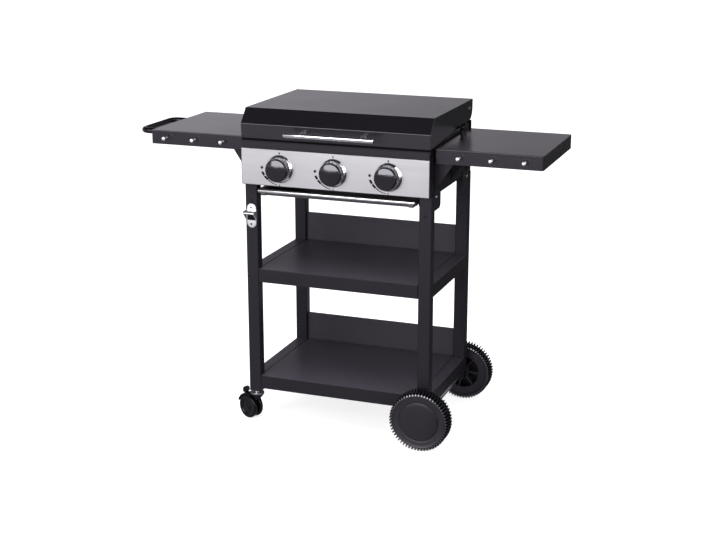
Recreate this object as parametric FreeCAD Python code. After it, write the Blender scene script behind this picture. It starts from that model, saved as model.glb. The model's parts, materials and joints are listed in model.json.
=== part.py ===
import FreeCAD, Part
import math
import os

Vector = FreeCAD.Vector

# Outdoor gas griddle station: a lidded griddle head with a control panel and two side tables, on a
# four-legged cart with two shelves, two large wheels on the right and two swivel casters on the left.
# Lengths are millimetres. While it is drawn, X is to the right, Y to the back and Z up, measured from the
# floor point midway between the legs. Each finished piece is then moved by TO_ORIGIN, so that the part's
# own origin is the middle of the floor rectangle that the whole station covers.

# Cart frame. The two large wheels set how high the legs start.
cart_half_width = 291.0
cart_half_depth = 202.5
tube_width = 38.0
tube_depth = 32.0
tube_wall = 1.5
tube_corner = 3.0
wheel_radius = 90.75
axle_cover = 10.75
leg_length = 655.5

# Shelves and back boards, with heights above the legs' feet
lower_shelf_rise = 50.5
shelf_spacing = 342.0
shelf_lip = 42.0
shelf_sheet = 1.5
shelf_corner = 3.0
board_rise = 89.5
board_sheet = 1.5
board_setback = 11.0
board_return = 11.0

# Griddle head, standing on the legs
head_inset = 2.5
head_front = 222.0
head_back = 204.0
head_height = 131.0
head_sheet = 1.5
back_wall_rise = 27.0
floor_flange = 16.0
plate_ledge = 24.0
vent_count = 5
vent_length = 70.0
vent_height = 9.0

# Control panel on the head's front, with the knobs' axes
panel_lift = 2.5
panel_height = 107.0
panel_sheet = 1.5
panel_stand = 4.4
panel_flange = 34.0
knob_pitch = 168.0
knob_rise = 51.0
stem_hole_radius = 10.0

# Griddle plate
plate_side_gap = 6.5
plate_front_gap = 8.0
plate_back_gap = 8.0
plate_thickness = 5.0
plate_sink = 4.0
rim_thickness = 3.0
rim_height = 21.0
front_rim_height = 3.5
trough_width = 34.0
trough_depth = 2.5
drain_radius = 9.0
drain_inset = 61.0
drain_margin = 1.0

# Gas train
shield_setback = 72.0
shield_sheet = 1.2
burner_radius = 16.0
burner_wall = 1.5
burner_back_gap = 44.0
burner_lead = 20.0
burner_foot = 4.0
burner_clearance = 0.3
valve_setback = 22.0
valve_width = 22.0
valve_rise = 11.0
valve_length = 26.0
spud_radius = 5.0
spud_length = 9.0
manifold_radius = 9.0
manifold_drop = 19.0
manifold_tail = 37.0
inlet_radius = 5.0
inlet_length = 12.0
inlet_neck_radius = 4.6
inlet_neck = 2.0
inlet_collar_radius = 8.0
inlet_collar = 2.0
inlet_clearance = 0.1
electrode_radius = 2.5
electrode_length = 40.0
electrode_offset = 8.0
electrode_rise = 12.0

# Knobs, bezels and valve stems
cap_radius = 31.5
cap_depth = 29.0
cap_crown = 6.0
cap_flat = 16.0
cap_step = 1.5
cap_gap = 6.5
bezel_radius = 38.0
bezel_height = 9.0
bezel_bore = 32.7
bezel_taper = 4.4
stem_radius = 4.0
stem_clearance = 0.05
stem_reach = 23.0
push_travel = 4.0
push_gap = 0.5
push_room = 1.5
sleeve_radius = 7.0
sleeve_length = 8.0
sleeve_clearance = 0.05

# Lid, over the head
lid_side_clearance = 1.3
lid_sheet = 1.2
lid_front_gap = 2.3
lid_front_height = 48.0
lid_slope_height = 42.2
lid_front_inset = 1.5
lid_front_lean = 2.8
lid_slope_depth = 36.3
lid_side_rise = 28.7
lid_side_turn = 60.0
lid_back_radius = 35.0
lid_edge_radius = 3.0
pivot_radius = 4.0
pivot_clearance = 0.05
pivot_head_radius = 8.0
pivot_head_height = 3.0
pivot_head_skirt = 1.5
pivot_head_top = 4.8
pivot_tail = 2.0
pivot_plate = 2.5
pivot_ear = 12.0
pivot_lean = 8.0
pivot_root = 34.0
pivot_shoulder = 30.0
pivot_rear_cut = 2.0
pivot_front_cut = 1.0
pivot_rear_drop = 7.0
pivot_front_drop = 5.0
pivot_foot_rise = 4.0
bumper_radius = 5.0
bumper_head = 9.0
bumper_head_height = 8.0
bumper_round = 1.5
bumper_place = 69.0
bumper_gap = 0.4

# Lid handle
bar_radius = 6.5
bar_half_length = 137.5
bar_stand = 40.7
bar_rise = 28.7
bar_post_place = 92.5
bar_chamfer = 1.2
post_tip_radius = 5.0
post_root_radius = 9.0
post_collar = 4.0
post_sink = 4.0
post_window = 12.0

# Side tables
table_rise = 6.5
table_lip = 42.0
table_sheet = 1.2
table_front = 190.0
table_back = 177.0
table_gap = 2.0
table_width = 313.0
table_corner = 5.0
gusset_width = 56.5
gusset_drop = 85.0
gusset_sheet = 2.0
gusset_front_inset = 22.0
gusset_back_inset = 17.0
gusset_flange = 14.0
hook_pitch = 94.5
hook_edge = 51.0
hook_rod = 2.0
hook_head = 4.2
hook_reach = 23.7
hook_head_length = 7.5
hook_head_lead = 3.0

# Handle on the left table
grip_radius = 10.0
grip_reach = 52.6
grip_inset = 38.0
grip_length = 200.0
grip_bend = 24.0
grip_drop = 12.0

# Grease tray with its bar
tray_inset = 10.0
tray_front_inset = 2.5
tray_length = 365.0
tray_drop = 16.0
tray_depth = 18.0
tray_sheet = 1.2
tray_flange = 6.0
tray_bar_radius = 6.0
tray_bar_inset = 4.5
tray_bar_drop = 4.0
tray_bar_stand = 0.5
tray_bracket_width = 14.0
tray_bracket_chin = 4.0
tray_gap = 0.4
tray_side_gap = 1.0
runner_sheet = 1.5
runner_height = 12.0
runner_inset = 2.0

# Bottle opener on the front left leg
opener_drop = 62.0
opener_length = 75.0
opener_half_width = 15.0
opener_plate = 2.5
opener_waist = 0.78
opener_hood_lap = 1.5
opener_hood_drop = 19.0
opener_brow_height = 12.0
opener_cheek_height = 15.0
opener_chin_height = 9.0
opener_hood_reach = 20.0
opener_chin_setback = 3.0
opener_foot_reach = 9.0
opener_wall = 3.0
opener_trim_radius = 21.1

# Leg brackets below the head
bracket_sheet = 2.0
bracket_depth = 56.0
bracket_drop = 47.0
bracket_corner = 9.0
bracket_lap = 10.0

# Large wheels on the right
axle_radius = 8.0
axle_place = 275.5
wheel_width = 46.5
wheel_gap = 6.3
wheel_bore_clearance = 0.08
hub_radius = 20.0
hub_inset = 5.0
tread_depth = 3.0
tread_teeth = 58
tread_duty = 0.5
tread_slope = 0.08
rim_wall = 11.75
back_disc_inset = 3.0
back_disc_thickness = 4.0
back_disc_opening = 42.0
web_inset = 7.0
web_thickness = 4.0
face_step = 2.5
ridge_inset = 9.25
ridge_width = 2.5
ridge_height = 1.2
spoke_count = 7
spoke_thickness = 5.0
spoke_start = 12.0
hub_cap_radius = 60.5
hub_cap_clearance = 0.3
hub_cap_proud = 1.5
hub_cap_rim = 1.0
hub_cap_flat = 28.0
axle_nut_radius = 11.0
axle_nut_height = 2.5
axle_nut_gap = 0.5
axle_block_width = 30.0
axle_block_depth = 26.0
axle_block_drop = 14.75
axle_block_corner = 8.0
axle_collar_radius = 12.0
axle_collar_gap = 0.3
plug_flange = 3.0
plug_depth = 14.0
plug_clearance = 0.2

# Casters on the left
caster_radius = 37.5
caster_tread_round = 3.0
caster_dish = 2.5
caster_dish_radius = 26.0
caster_pin_inset = 2.0
caster_trail = 31.0
caster_turns = {"front": -24.0, "rear": 35.0}
caster_tread = 13.0
caster_web = 8.0
caster_side_gap = 1.0
caster_pin_radius = 4.0
caster_pin_clearance = 0.06
caster_boss_radius = 10.0
caster_disc_radius = 21.0
caster_disc_thickness = 8.0
caster_disc_round = 1.5
caster_neck_radius = 16.0
caster_hood_gap = 2.5
caster_hood_wall = 3.0
caster_hood_rear_angle = 15.6
caster_hood_front_angle = 65.8
caster_stem_radius = 5.5
caster_stem_clearance = 0.08
caster_stem_drop = 24.0
caster_hub_radius = 10.5
caster_collar_height = 8.0
caster_collar_radius = 10.0
caster_collar_gap = 0.3
brake_angle = 60.0
brake_boss_radius = 5.0
brake_boss_clearance = 0.4
brake_cheek_radius = 3.4
brake_cheek_gap = 0.3
brake_cheek = 4.0
brake_pin_radius = 1.8
brake_pin_clearance = 0.05
brake_slot = 9.0
brake_neck_lap = 2.0
brake_pedal_width = 26.0
brake_pedal_start = 5.5
brake_pedal_reach = 21.5
brake_pedal_thickness = 3.5
brake_pedal_corner = 8.0
brake_pedal_lean = 8.0

# Hexagon screw heads
screw_radius = 5.0
screw_height = 2.6
side_bolt_radius = 6.5
side_bolt_height = 4.0
side_bolt_inset = 53.0
side_bolt_rise = 50.0
bracket_screw_inset = 14.0
bracket_screw_drop = 8.0
leg_screw_drop = 55.0
opener_screw_radius = 4.0
opener_screw_height = 2.0
opener_screw_margin = 12.0

# How far a cutting shape reaches past the face it cuts
past = 1.0

# Values that follow from the ones above
leg_x = cart_half_width - tube_width / 2
leg_y = cart_half_depth - tube_depth / 2
inner_x = cart_half_width - tube_width
inner_y = cart_half_depth - tube_depth
leg_foot = wheel_radius + axle_cover
lower_shelf_top = leg_foot + lower_shelf_rise
middle_shelf_top = lower_shelf_top + shelf_spacing
head_base = leg_foot + leg_length
head_top = head_base + head_height
back_wall_top = head_top + back_wall_rise
head_half_width = cart_half_width - head_inset
head_inner_x = head_half_width - head_sheet
panel_bottom = head_base + panel_lift
panel_top = panel_bottom + panel_height
panel_face = head_front + panel_stand
panel_half_width = head_half_width + panel_sheet
knob_height = panel_bottom + knob_rise
plate_top = head_top - plate_sink
plate_under = plate_top - plate_thickness
plate_half_width = head_half_width - plate_side_gap
plate_front = head_front - plate_front_gap
plate_back = head_back - plate_back_gap
shield_front = head_front - shield_setback
burner_front = shield_front + burner_lead
burner_back = head_back - burner_back_gap
valve_front = head_front - valve_setback
manifold_height = knob_height - manifold_drop
manifold_place = -valve_front + valve_length / 2
manifold_reach = knob_pitch + manifold_tail
sleeve_front = -valve_front + push_gap
sleeve_back = sleeve_front + sleeve_length
lid_half_width = head_half_width + lid_side_clearance + lid_sheet
lid_front_foot = head_top + lid_front_gap
lid_break = lid_front_foot + lid_front_height
lid_top = lid_break + lid_slope_height
lid_front_face = head_front - lid_front_inset
lid_break_reach = lid_front_face + lid_front_lean
lid_top_front = lid_break_reach - lid_slope_depth
lid_back = head_back
lid_side_foot = lid_front_foot + lid_side_rise
pivot_y = lid_back - lid_back_radius
pivot_z = lid_side_foot + lid_back_radius
bar_reach = lid_break_reach + bar_stand
bar_height = lid_front_foot + bar_rise
table_top = head_top + table_rise
table_under = table_top - table_sheet
table_foot = table_top - table_lip
table_inner = lid_half_width + table_gap
table_reach = table_inner + table_width
gusset_front = -table_front + gusset_front_inset
gusset_pitch = (table_back - gusset_back_inset - gusset_front) / 2
grip_front = -table_front + grip_inset
grip_back = grip_front + grip_length
tray_half_width = inner_x - tray_inset
tray_front = cart_half_depth - tray_front_inset
tray_back = tray_length - tray_front
tray_top = head_base - tray_drop
tray_bar_half_length = inner_x - tray_bar_inset
tray_bar_height = tray_top - tray_bar_drop
tray_bar_reach = tray_front + tray_bar_radius + tray_bar_stand
runner_reach = cart_half_depth - runner_inset
opener_top = head_base - opener_drop
opener_foot = opener_top - opener_length
opener_hood_top = opener_top - opener_hood_drop
opener_brow = opener_hood_top - opener_brow_height
opener_chin = opener_brow - opener_cheek_height
opener_hood_foot = opener_chin - opener_chin_height
axle_block_foot = wheel_radius - axle_block_drop
rim_inner_radius = wheel_radius - tread_depth - rim_wall
ridge_radius = wheel_radius - ridge_inset
wheel_inner_face = cart_half_depth + wheel_gap
caster_disc_top = leg_foot - plug_flange - caster_collar_height
caster_stem_foot = caster_disc_top - caster_stem_drop
pair_width = 2 * (caster_tread + caster_side_gap) + caster_web
front_reach = bar_reach + bar_radius
rear_reach = wheel_inner_face + wheel_width + hub_cap_proud
TO_ORIGIN = Vector((grip_reach + grip_radius) / 2, (front_reach - rear_reach) / 2, 0)

os.makedirs("parts", exist_ok=True)


def save(name, *shapes):
    """Move a piece, or a group of like pieces, to the part's own origin and write it."""
    shape = shapes[0] if len(shapes) == 1 else Part.makeCompound(list(shapes))
    placed = shape.copy()
    placed.translate(TO_ORIGIN)
    placed.exportStep("parts/" + name + ".step")


def box(x0, x1, y0, y1, z0, z1):
    return Part.makeBox(x1 - x0, y1 - y0, z1 - z0, Vector(x0, y0, z0))


def rod(radius, start, end):
    """A round bar between two points."""
    run = end - start
    return Part.makeCylinder(radius, run.Length, start, run)


def outline(points):
    """A closed face through points of straight edges."""
    return Part.Face(Part.makePolygon(points + [points[0]]))


def inset(points, distance):
    """The points of an open line in a YZ plane, moved to the right of its way by a distance."""
    lines = []
    for a, b in zip(points, points[1:]):
        way = b - a
        way.normalize()
        aside = Vector(0, way.z, -way.y) * distance
        lines.append((a + aside, b + aside, way))
    moved = [lines[0][0]]
    for (_, end, way), (start, _, next_way) in zip(lines, lines[1:]):
        gap = start - end
        turn = way.y * next_way.z - way.z * next_way.y
        moved.append(end + way * ((gap.y * next_way.z - gap.z * next_way.y) / turn))
    moved.append(lines[-1][1])
    return moved


def plate_yz(points, x0, x1):
    """A sheet whose outline is drawn in Y and Z and whose thickness runs along X."""
    face = outline([Vector(x0, y, z) for y, z in points])
    return face.extrude(Vector(x1 - x0, 0, 0))


def plate_xz(points, y0, y1):
    """A sheet whose outline is drawn in X and Z and whose thickness runs along Y."""
    face = outline([Vector(x, y0, z) for x, z in points])
    return face.extrude(Vector(0, y1 - y0, 0))


def turned(profile, centre, direction):
    """Turn a profile of (radius, distance along the axis) points about an axis."""
    along = Vector(direction)
    along.normalize()
    across = Vector(0, 0, 1) if abs(along.z) < 0.5 else Vector(1, 0, 0)
    points = [centre + across * r + along * a for r, a in profile]
    return outline(points).revolve(centre, along, 360)


def edges_along(shape, direction):
    """The straight edges of a shape that run along a direction."""
    found = []
    for edge in shape.Edges:
        if edge.Curve.TypeId != "Part::GeomLine":
            continue
        if edge.tangentAt(edge.FirstParameter).cross(direction).Length < 1e-6:
            found.append(edge)
    return found


def round_edges(shape):
    """The circular edges of a shape."""
    return [edge for edge in shape.Edges if edge.Curve.TypeId == "Part::GeomCircle"]


def square_tube(x0, x1, y0, y1, z0, z1, axis):
    """A square steel tube with rounded corners, open at the two ends of its axis."""
    direction = {"y": Vector(0, 1, 0), "z": Vector(0, 0, 1)}[axis]
    outer = box(x0, x1, y0, y1, z0, z1)
    outer = outer.makeFillet(tube_corner, edges_along(outer, direction))
    if axis == "z":
        hollow = box(x0 + tube_wall, x1 - tube_wall, y0 + tube_wall, y1 - tube_wall, z0, z1)
    else:
        hollow = box(x0 + tube_wall, x1 - tube_wall, y0, y1, z0 + tube_wall, z1 - tube_wall)
    return outer.cut(hollow)


def sheet_pan(x0, x1, y0, y1, z_top, lip, sheet, corner):
    """A flat sheet top with its four edges folded down, and rounded upright corners."""
    outer = box(x0, x1, y0, y1, z_top - lip, z_top)
    outer = outer.makeFillet(corner, edges_along(outer, Vector(0, 0, 1)))
    inner = box(x0 + sheet, x1 - sheet, y0 + sheet, y1 - sheet, z_top - lip, z_top - sheet)
    inner = inner.makeFillet(corner - sheet, edges_along(inner, Vector(0, 0, 1)))
    return outer.cut(inner)


def screw(place, direction, radius=screw_radius, height=screw_height):
    """A hexagon screw head that sits on a face."""
    across = Vector(0, 0, 1)
    turn = FreeCAD.Rotation(direction, 60)
    points = [place + across * radius]
    for _ in range(5):
        across = turn.multVec(across)
        points.append(place + across * radius)
    return outline(points).extrude(direction * height)


def build_legs():
    """Four upright legs. The axle blocks and caster plugs close their lower ends."""
    for side, sx in (("left", -1), ("right", 1)):
        for end, sy in (("front", -1), ("rear", 1)):
            leg = square_tube(sx * leg_x - tube_width / 2, sx * leg_x + tube_width / 2,
                              sy * leg_y - tube_depth / 2, sy * leg_y + tube_depth / 2,
                              leg_foot, head_base, "z")
            save("leg_" + end + "_" + side, leg)


def build_side_rails():
    """Rails between the front and rear legs, level with the shelves."""
    for level, top in (("middle", middle_shelf_top), ("lower", lower_shelf_top)):
        for side, sx in (("left", -1), ("right", 1)):
            rail = square_tube(sx * leg_x - tube_width / 2, sx * leg_x + tube_width / 2,
                               -inner_y, inner_y, top - shelf_lip, top, "y")
            save("side_rail_" + level + "_" + side, rail)


def build_shelves():
    """Two folded shelf pans between the side rails, and the back boards between the rear legs."""
    board_front = inner_y + board_setback
    boards = []
    for level, top in (("middle", middle_shelf_top), ("lower", lower_shelf_top)):
        shelf = sheet_pan(-inner_x, inner_x, -cart_half_depth, cart_half_depth, top, shelf_lip,
                          shelf_sheet, shelf_corner)
        save("shelf_" + level, shelf)
        board = box(-inner_x, inner_x, board_front, board_front + board_sheet, top, top + board_rise)
        fold = box(-inner_x, inner_x, board_front, board_front + board_return,
                   top + board_rise - board_sheet, top + board_rise)
        boards.append(board.fuse(fold).removeSplitter())
    save("back_boards", *boards)


def build_head_shell():
    """The head's welded sheet casing: sides, raised back, front strip, floor flanges, plate ledges."""
    shell = box(-head_half_width, head_half_width, -head_front, head_back, head_base, head_top)
    back = box(-head_half_width, head_half_width, head_back - head_sheet, head_back, head_base, back_wall_top)
    inner = box(-head_inner_x, head_inner_x, -head_front + head_sheet, head_back - head_sheet,
                head_base + head_sheet, head_top)
    well = box(-head_half_width + floor_flange, head_half_width - floor_flange,
               -head_front + floor_flange, head_back - floor_flange, head_base, head_base + head_sheet)
    bay = box(-head_inner_x, head_inner_x, -head_front, -head_front + head_sheet,
              head_base + head_sheet, panel_top)
    shell = shell.fuse(back).cut(inner).cut(well).cut(bay)
    for sx in (-1, 1):
        outer = sx * head_inner_x
        inside = sx * (head_half_width - plate_ledge)
        ledge = box(min(outer, inside), max(outer, inside), -head_front + head_sheet, head_back - head_sheet,
                    plate_under - head_sheet, plate_under)
        shell = shell.fuse(ledge)
    pitch = 2 * head_half_width / vent_count
    for index in range(vent_count):
        middle = -head_half_width + pitch * (index + 0.5)
        slot = box(middle - vent_length / 2, middle + vent_length / 2, head_back - 2 * head_sheet,
                   head_back + past, knob_height, knob_height + vent_height)
        shell = shell.cut(slot)
    side = Vector(-head_half_width, manifold_place, manifold_height)
    inlet_way = rod(inlet_neck_radius + inlet_clearance, side - Vector(past, 0, 0),
                    side + Vector(2 * head_sheet, 0, 0))
    save("head_shell", shell.cut(inlet_way).removeSplitter())


def knob_places():
    return (("left", -knob_pitch), ("centre", 0.0), ("right", knob_pitch))


def build_control_panel():
    """The stainless control panel: a front sheet with folded sides, holed for the three stems."""
    outer = box(-panel_half_width, panel_half_width, -panel_face, -panel_face + panel_flange,
                panel_bottom, panel_top)
    inner = box(-panel_half_width + panel_sheet, panel_half_width - panel_sheet,
                -panel_face + panel_sheet, -panel_face + panel_flange, panel_bottom, panel_top)
    panel = outer.cut(inner)
    for _, x in knob_places():
        hole = rod(stem_hole_radius, Vector(x, -panel_face - past, knob_height),
                   Vector(x, -panel_face + panel_sheet + past, knob_height))
        panel = panel.cut(hole)
    save("control_panel", panel)


def build_knobs():
    """Bezels, knobs, stems and the sprung sleeves that the knobs are pushed in against."""
    bezels = []
    out = Vector(0, -1, 0)
    for side, x in knob_places():
        face = Vector(x, -panel_face, knob_height)
        bezels.append(turned([(bezel_bore, 0), (bezel_radius, 0), (bezel_radius - bezel_taper, bezel_height),
                              (bezel_bore, bezel_height)], face, out))
        save("knob_" + side, knob_cap(face, out))
        stem = rod(stem_radius, Vector(x, sleeve_back, knob_height), face + out * stem_reach)
        save("valve_stem_" + side, stem)
        front = Vector(x, sleeve_front, knob_height)
        back = Vector(x, sleeve_back, knob_height)
        way = rod(stem_radius + stem_clearance, front, back)
        save("push_sleeve_" + side, rod(sleeve_radius - sleeve_clearance, front, back).cut(way))
    save("knob_bezels", *bezels)


def knob_cap(face, out):
    """A round knob with a stepped skirt and a crowned face, bored for its stem."""
    rim = cap_gap + cap_depth - cap_crown
    skirt = cap_radius - cap_step
    top = rim + cap_crown
    cap = turned([(0, cap_gap), (cap_radius, cap_gap), (cap_radius, rim - cap_step), (skirt, rim),
                  (cap_flat, top - cap_step), (0, top)], face, out)
    return cap.cut(rod(stem_radius, face + out * cap_gap, face + out * stem_reach))


def build_gas_train():
    """Manifold with its inlet, three valves, three tube burners, their electrodes and the front shield."""
    valves = []
    burners = []
    electrodes = []
    pipe = rod(manifold_radius, Vector(-head_inner_x, manifold_place, manifold_height),
               Vector(manifold_reach, manifold_place, manifold_height))
    wall = Vector(-head_inner_x, manifold_place, manifold_height)
    shoulder = wall - Vector(head_sheet + inlet_neck, 0, 0)
    seat = shoulder - Vector(inlet_collar, 0, 0)
    neck = rod(inlet_neck_radius, wall, shoulder)
    collar = rod(inlet_collar_radius, shoulder, seat)
    nipple = rod(inlet_radius, seat, seat - Vector(inlet_length, 0, 0))
    save("gas_manifold", pipe.fuse([neck, collar, nipple]).removeSplitter())
    floor = head_base + head_sheet
    shield = box(-head_inner_x, head_inner_x, -shield_front, -shield_front + shield_sheet,
                 floor, plate_under - head_sheet)
    for _, x in knob_places():
        body = box(x - valve_width / 2, x + valve_width / 2, -valve_front, -valve_front + valve_length,
                   manifold_height, knob_height + valve_rise)
        saddle = rod(manifold_radius, Vector(x - valve_width, manifold_place, manifold_height),
                     Vector(x + valve_width, manifold_place, manifold_height))
        chamber = rod(sleeve_radius, Vector(x, -valve_front - past, knob_height),
                      Vector(x, sleeve_back + push_travel + push_room, knob_height))
        spud = rod(spud_radius, Vector(x, -valve_front + valve_length, knob_height),
                   Vector(x, -valve_front + valve_length + spud_length, knob_height))
        valves.append(body.cut(saddle).cut(chamber).fuse(spud).removeSplitter())
        tube = rod(burner_radius, Vector(x, -burner_front, knob_height), Vector(x, burner_back, knob_height))
        bore = rod(burner_radius - burner_wall, Vector(x, -burner_front, knob_height),
                   Vector(x, burner_back - burner_wall, knob_height))
        foot = box(x - burner_radius, x + burner_radius, burner_back - burner_foot, burner_back,
                   floor, knob_height)
        sole = box(x - burner_radius, x + burner_radius, burner_back - burner_foot,
                   head_back - head_sheet, floor, floor + burner_wall)
        burners.append(tube.fuse([foot, sole]).cut(bore).removeSplitter())
        way = rod(burner_radius + burner_clearance, Vector(x, -shield_front - past, knob_height),
                  Vector(x, -shield_front + shield_sheet + past, knob_height))
        shield = shield.cut(way)
        start = Vector(x + burner_radius + electrode_offset, -shield_front + shield_sheet,
                       knob_height + electrode_rise)
        electrodes.append(rod(electrode_radius, start, start + Vector(0, electrode_length, 0)))
    save("gas_valves", *valves)
    save("burners", *burners)
    save("igniter_electrodes", *electrodes)
    save("burner_shield", shield)


def build_griddle_plate():
    """The cooking plate with a front grease trough, a drain hole and raised rims at sides and back."""
    plate = box(-plate_half_width, plate_half_width, -plate_front, plate_back, plate_under, plate_top)
    left = box(-plate_half_width, -plate_half_width + rim_thickness, -plate_front, plate_back,
               plate_top, plate_top + rim_height)
    right = box(plate_half_width - rim_thickness, plate_half_width, -plate_front, plate_back,
                plate_top, plate_top + rim_height)
    back = box(-plate_half_width, plate_half_width, plate_back - rim_thickness, plate_back,
               plate_top, plate_top + rim_height)
    front = box(-plate_half_width, plate_half_width, -plate_front, -plate_front + rim_thickness,
                plate_top, plate_top + front_rim_height)
    plate = plate.fuse([left, right, back, front])
    trough = box(-plate_half_width + rim_thickness, plate_half_width - rim_thickness,
                 -plate_front + rim_thickness, -plate_front + rim_thickness + trough_width,
                 plate_top - trough_depth, plate_top)
    drain_y = -plate_front + rim_thickness + trough_width - drain_radius - drain_margin
    drain_foot = Vector(plate_half_width - drain_inset, drain_y, plate_under)
    drain = rod(drain_radius, drain_foot, drain_foot + Vector(0, 0, plate_thickness))
    save("griddle_plate", plate.cut(trough).cut(drain).removeSplitter())


def build_lid():
    """The lid: a folded sheet shell, open below, whose sides are cut back along their lower edges."""
    x = -lid_half_width
    foot = Vector(x, -lid_front_face, lid_front_foot)
    front_fold = Vector(x, -lid_break_reach, lid_break)
    top_front = Vector(x, -lid_top_front, lid_top)
    top_back = Vector(x, lid_back, lid_top)
    roll_start = Vector(x, lid_back, pivot_z)
    half = math.sqrt(0.5) * lid_back_radius
    roll_middle = Vector(x, pivot_y + half, pivot_z - half)
    roll_end = Vector(x, pivot_y, lid_side_foot)
    turn = Vector(x, lid_side_turn, lid_side_foot)
    corners = [roll_end, turn, foot, front_fold, top_front, top_back, roll_start]
    edges = [Part.LineSegment(a, b).toShape() for a, b in zip(corners, corners[1:])]
    edges.append(Part.Arc(roll_start, roll_middle, roll_end).toShape())
    solid = Part.Face(Part.Wire(edges)).extrude(Vector(2 * lid_half_width, 0, 0))
    rims = [edge for edge in solid.Edges
            if abs(abs(edge.CenterOfMass.x) - lid_half_width) < past
            and edge.CenterOfMass.z > lid_break + past and edge.CenterOfMass.y < lid_back - past]
    solid = solid.makeFillet(lid_edge_radius, rims)
    open_back = Vector(x, lid_back, lid_front_foot - past)
    open_front = foot - Vector(0, 0, past)
    inner = inset([open_front, front_fold, top_front, top_back, open_back], lid_sheet)
    hollow = outline(inner).extrude(Vector(2 * (lid_half_width - lid_sheet), 0, 0))
    hollow.translate(Vector(lid_sheet, 0, 0))
    back_room = box(-lid_half_width + lid_sheet, lid_half_width - lid_sheet, pivot_y, lid_back + past,
                    lid_front_foot, pivot_z)
    shell = solid.cut(hollow).cut(back_room)
    pin_way = rod(pivot_radius, Vector(-lid_half_width - past, pivot_y, pivot_z),
                  Vector(lid_half_width + past, pivot_y, pivot_z))
    save("lid_shell", shell.cut(pin_way))


def build_lid_pivots():
    """Pivot bolts through the lid's sides, the uprights that carry them, and the side bumpers."""
    bolts = []
    uprights = []
    bumpers = []
    for sx in (-1, 1):
        face = Vector(sx * lid_half_width, pivot_y, pivot_z)
        inward = Vector(-sx, 0, 0)
        shank_length = lid_half_width - head_inner_x + pivot_plate + pivot_tail
        shank = rod(pivot_radius, face, face + inward * shank_length)
        head = turned([(0, 0), (pivot_head_radius, 0), (pivot_head_radius, pivot_head_skirt),
                       (pivot_head_top, pivot_head_height), (0, pivot_head_height)], face, -inward)
        bolts.append(shank.fuse(head).removeSplitter())
        uprights.append(pivot_upright(sx))
        rise = lid_side_foot - bumper_gap - table_top
        neck = rise - bumper_head_height
        foot = Vector(sx * (table_inner + bumper_radius), bumper_place, table_top)
        bumpers.append(turned([(0, 0), (bumper_radius, 0), (bumper_radius, neck),
                               (bumper_head, neck + bumper_round), (bumper_head, rise - bumper_round),
                               (bumper_head - bumper_round, rise), (0, rise)], foot, Vector(0, 0, 1)))
    save("lid_pivot_bolts", *bolts)
    save("lid_pivot_plates", *uprights)
    save("lid_bumpers", *bumpers)


def pivot_upright(sx):
    """A plate inside the head's side that leans forward and ends in a round eye for the lid's bolt."""
    x0 = min(sx * head_inner_x, sx * (head_inner_x - pivot_plate))
    rear = pivot_y - pivot_lean
    low = plate_top + pivot_foot_rise
    shape = [(rear, low), (rear, pivot_z - pivot_shoulder),
             (pivot_y + pivot_ear - pivot_rear_cut, pivot_z - pivot_rear_drop),
             (pivot_y - pivot_ear + pivot_front_cut, pivot_z - pivot_front_drop),
             (rear - pivot_root, low + pivot_lean), (rear - pivot_root, low)]
    plate = plate_yz(shape, x0, x0 + pivot_plate)
    start = Vector(x0, pivot_y, pivot_z)
    end = Vector(x0 + pivot_plate, pivot_y, pivot_z)
    plate = plate.fuse(rod(pivot_ear, start, end))
    return plate.cut(rod(pivot_radius + pivot_clearance, start, end)).removeSplitter()


def build_lid_handle():
    """A bar on two tapered posts that stand out from the lid's lower front."""
    bar = rod(bar_radius, Vector(-bar_half_length, -bar_reach, bar_height),
              Vector(bar_half_length, -bar_reach, bar_height))
    save("lid_handle_bar", bar.makeChamfer(bar_chamfer, round_edges(bar)))
    posts = []
    rise = (bar_height - lid_front_foot) / (lid_break - lid_front_foot)
    face_y = -(lid_front_face + (lid_break_reach - lid_front_face) * rise)
    for sx in (-1, 1):
        root = Vector(sx * bar_post_place, face_y + post_sink, bar_height)
        run = bar_reach + face_y + post_sink - bar_radius / 2
        post = turned([(0, 0), (post_root_radius, 0), (post_root_radius, post_sink + post_collar),
                       (post_tip_radius, run), (0, run)], root, Vector(0, -1, 0))
        seat = rod(bar_radius, Vector(root.x - post_window, -bar_reach, bar_height),
                   Vector(root.x + post_window, -bar_reach, bar_height))
        front = plate_yz([(-lid_front_face, lid_front_foot), (-lid_break_reach, lid_break),
                          (0, lid_break), (0, lid_front_foot)], root.x - post_window, root.x + post_window)
        posts.append(post.cut(seat).cut(front))
    save("lid_handle_posts", *posts)


def build_tables():
    """Two folded side tables with gusset brackets below them and hook pegs on their front lips."""
    gussets = []
    hooks = []
    out = Vector(0, -1, 0)
    for side, sx in (("left", -1), ("right", 1)):
        table = sheet_pan(min(sx * table_inner, sx * table_reach), max(sx * table_inner, sx * table_reach),
                          -table_front, table_back, table_top, table_lip, table_sheet, table_corner)
        save("side_table_" + side, table)
        for index in range(3):
            gussets.append(gusset(sx, gusset_front + index * gusset_pitch))
            x = sx * (table_reach - hook_edge - index * hook_pitch)
            root = Vector(x, -table_front, table_top - table_lip / 2)
            neck = hook_reach - hook_head_length
            hooks.append(turned([(0, 0), (hook_rod, 0), (hook_rod, neck),
                                 (hook_head, neck + hook_head_lead), (hook_rod, hook_reach),
                                 (0, hook_reach)], root, out))
    save("table_gussets", *gussets)
    save("table_hooks", *hooks)


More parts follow.
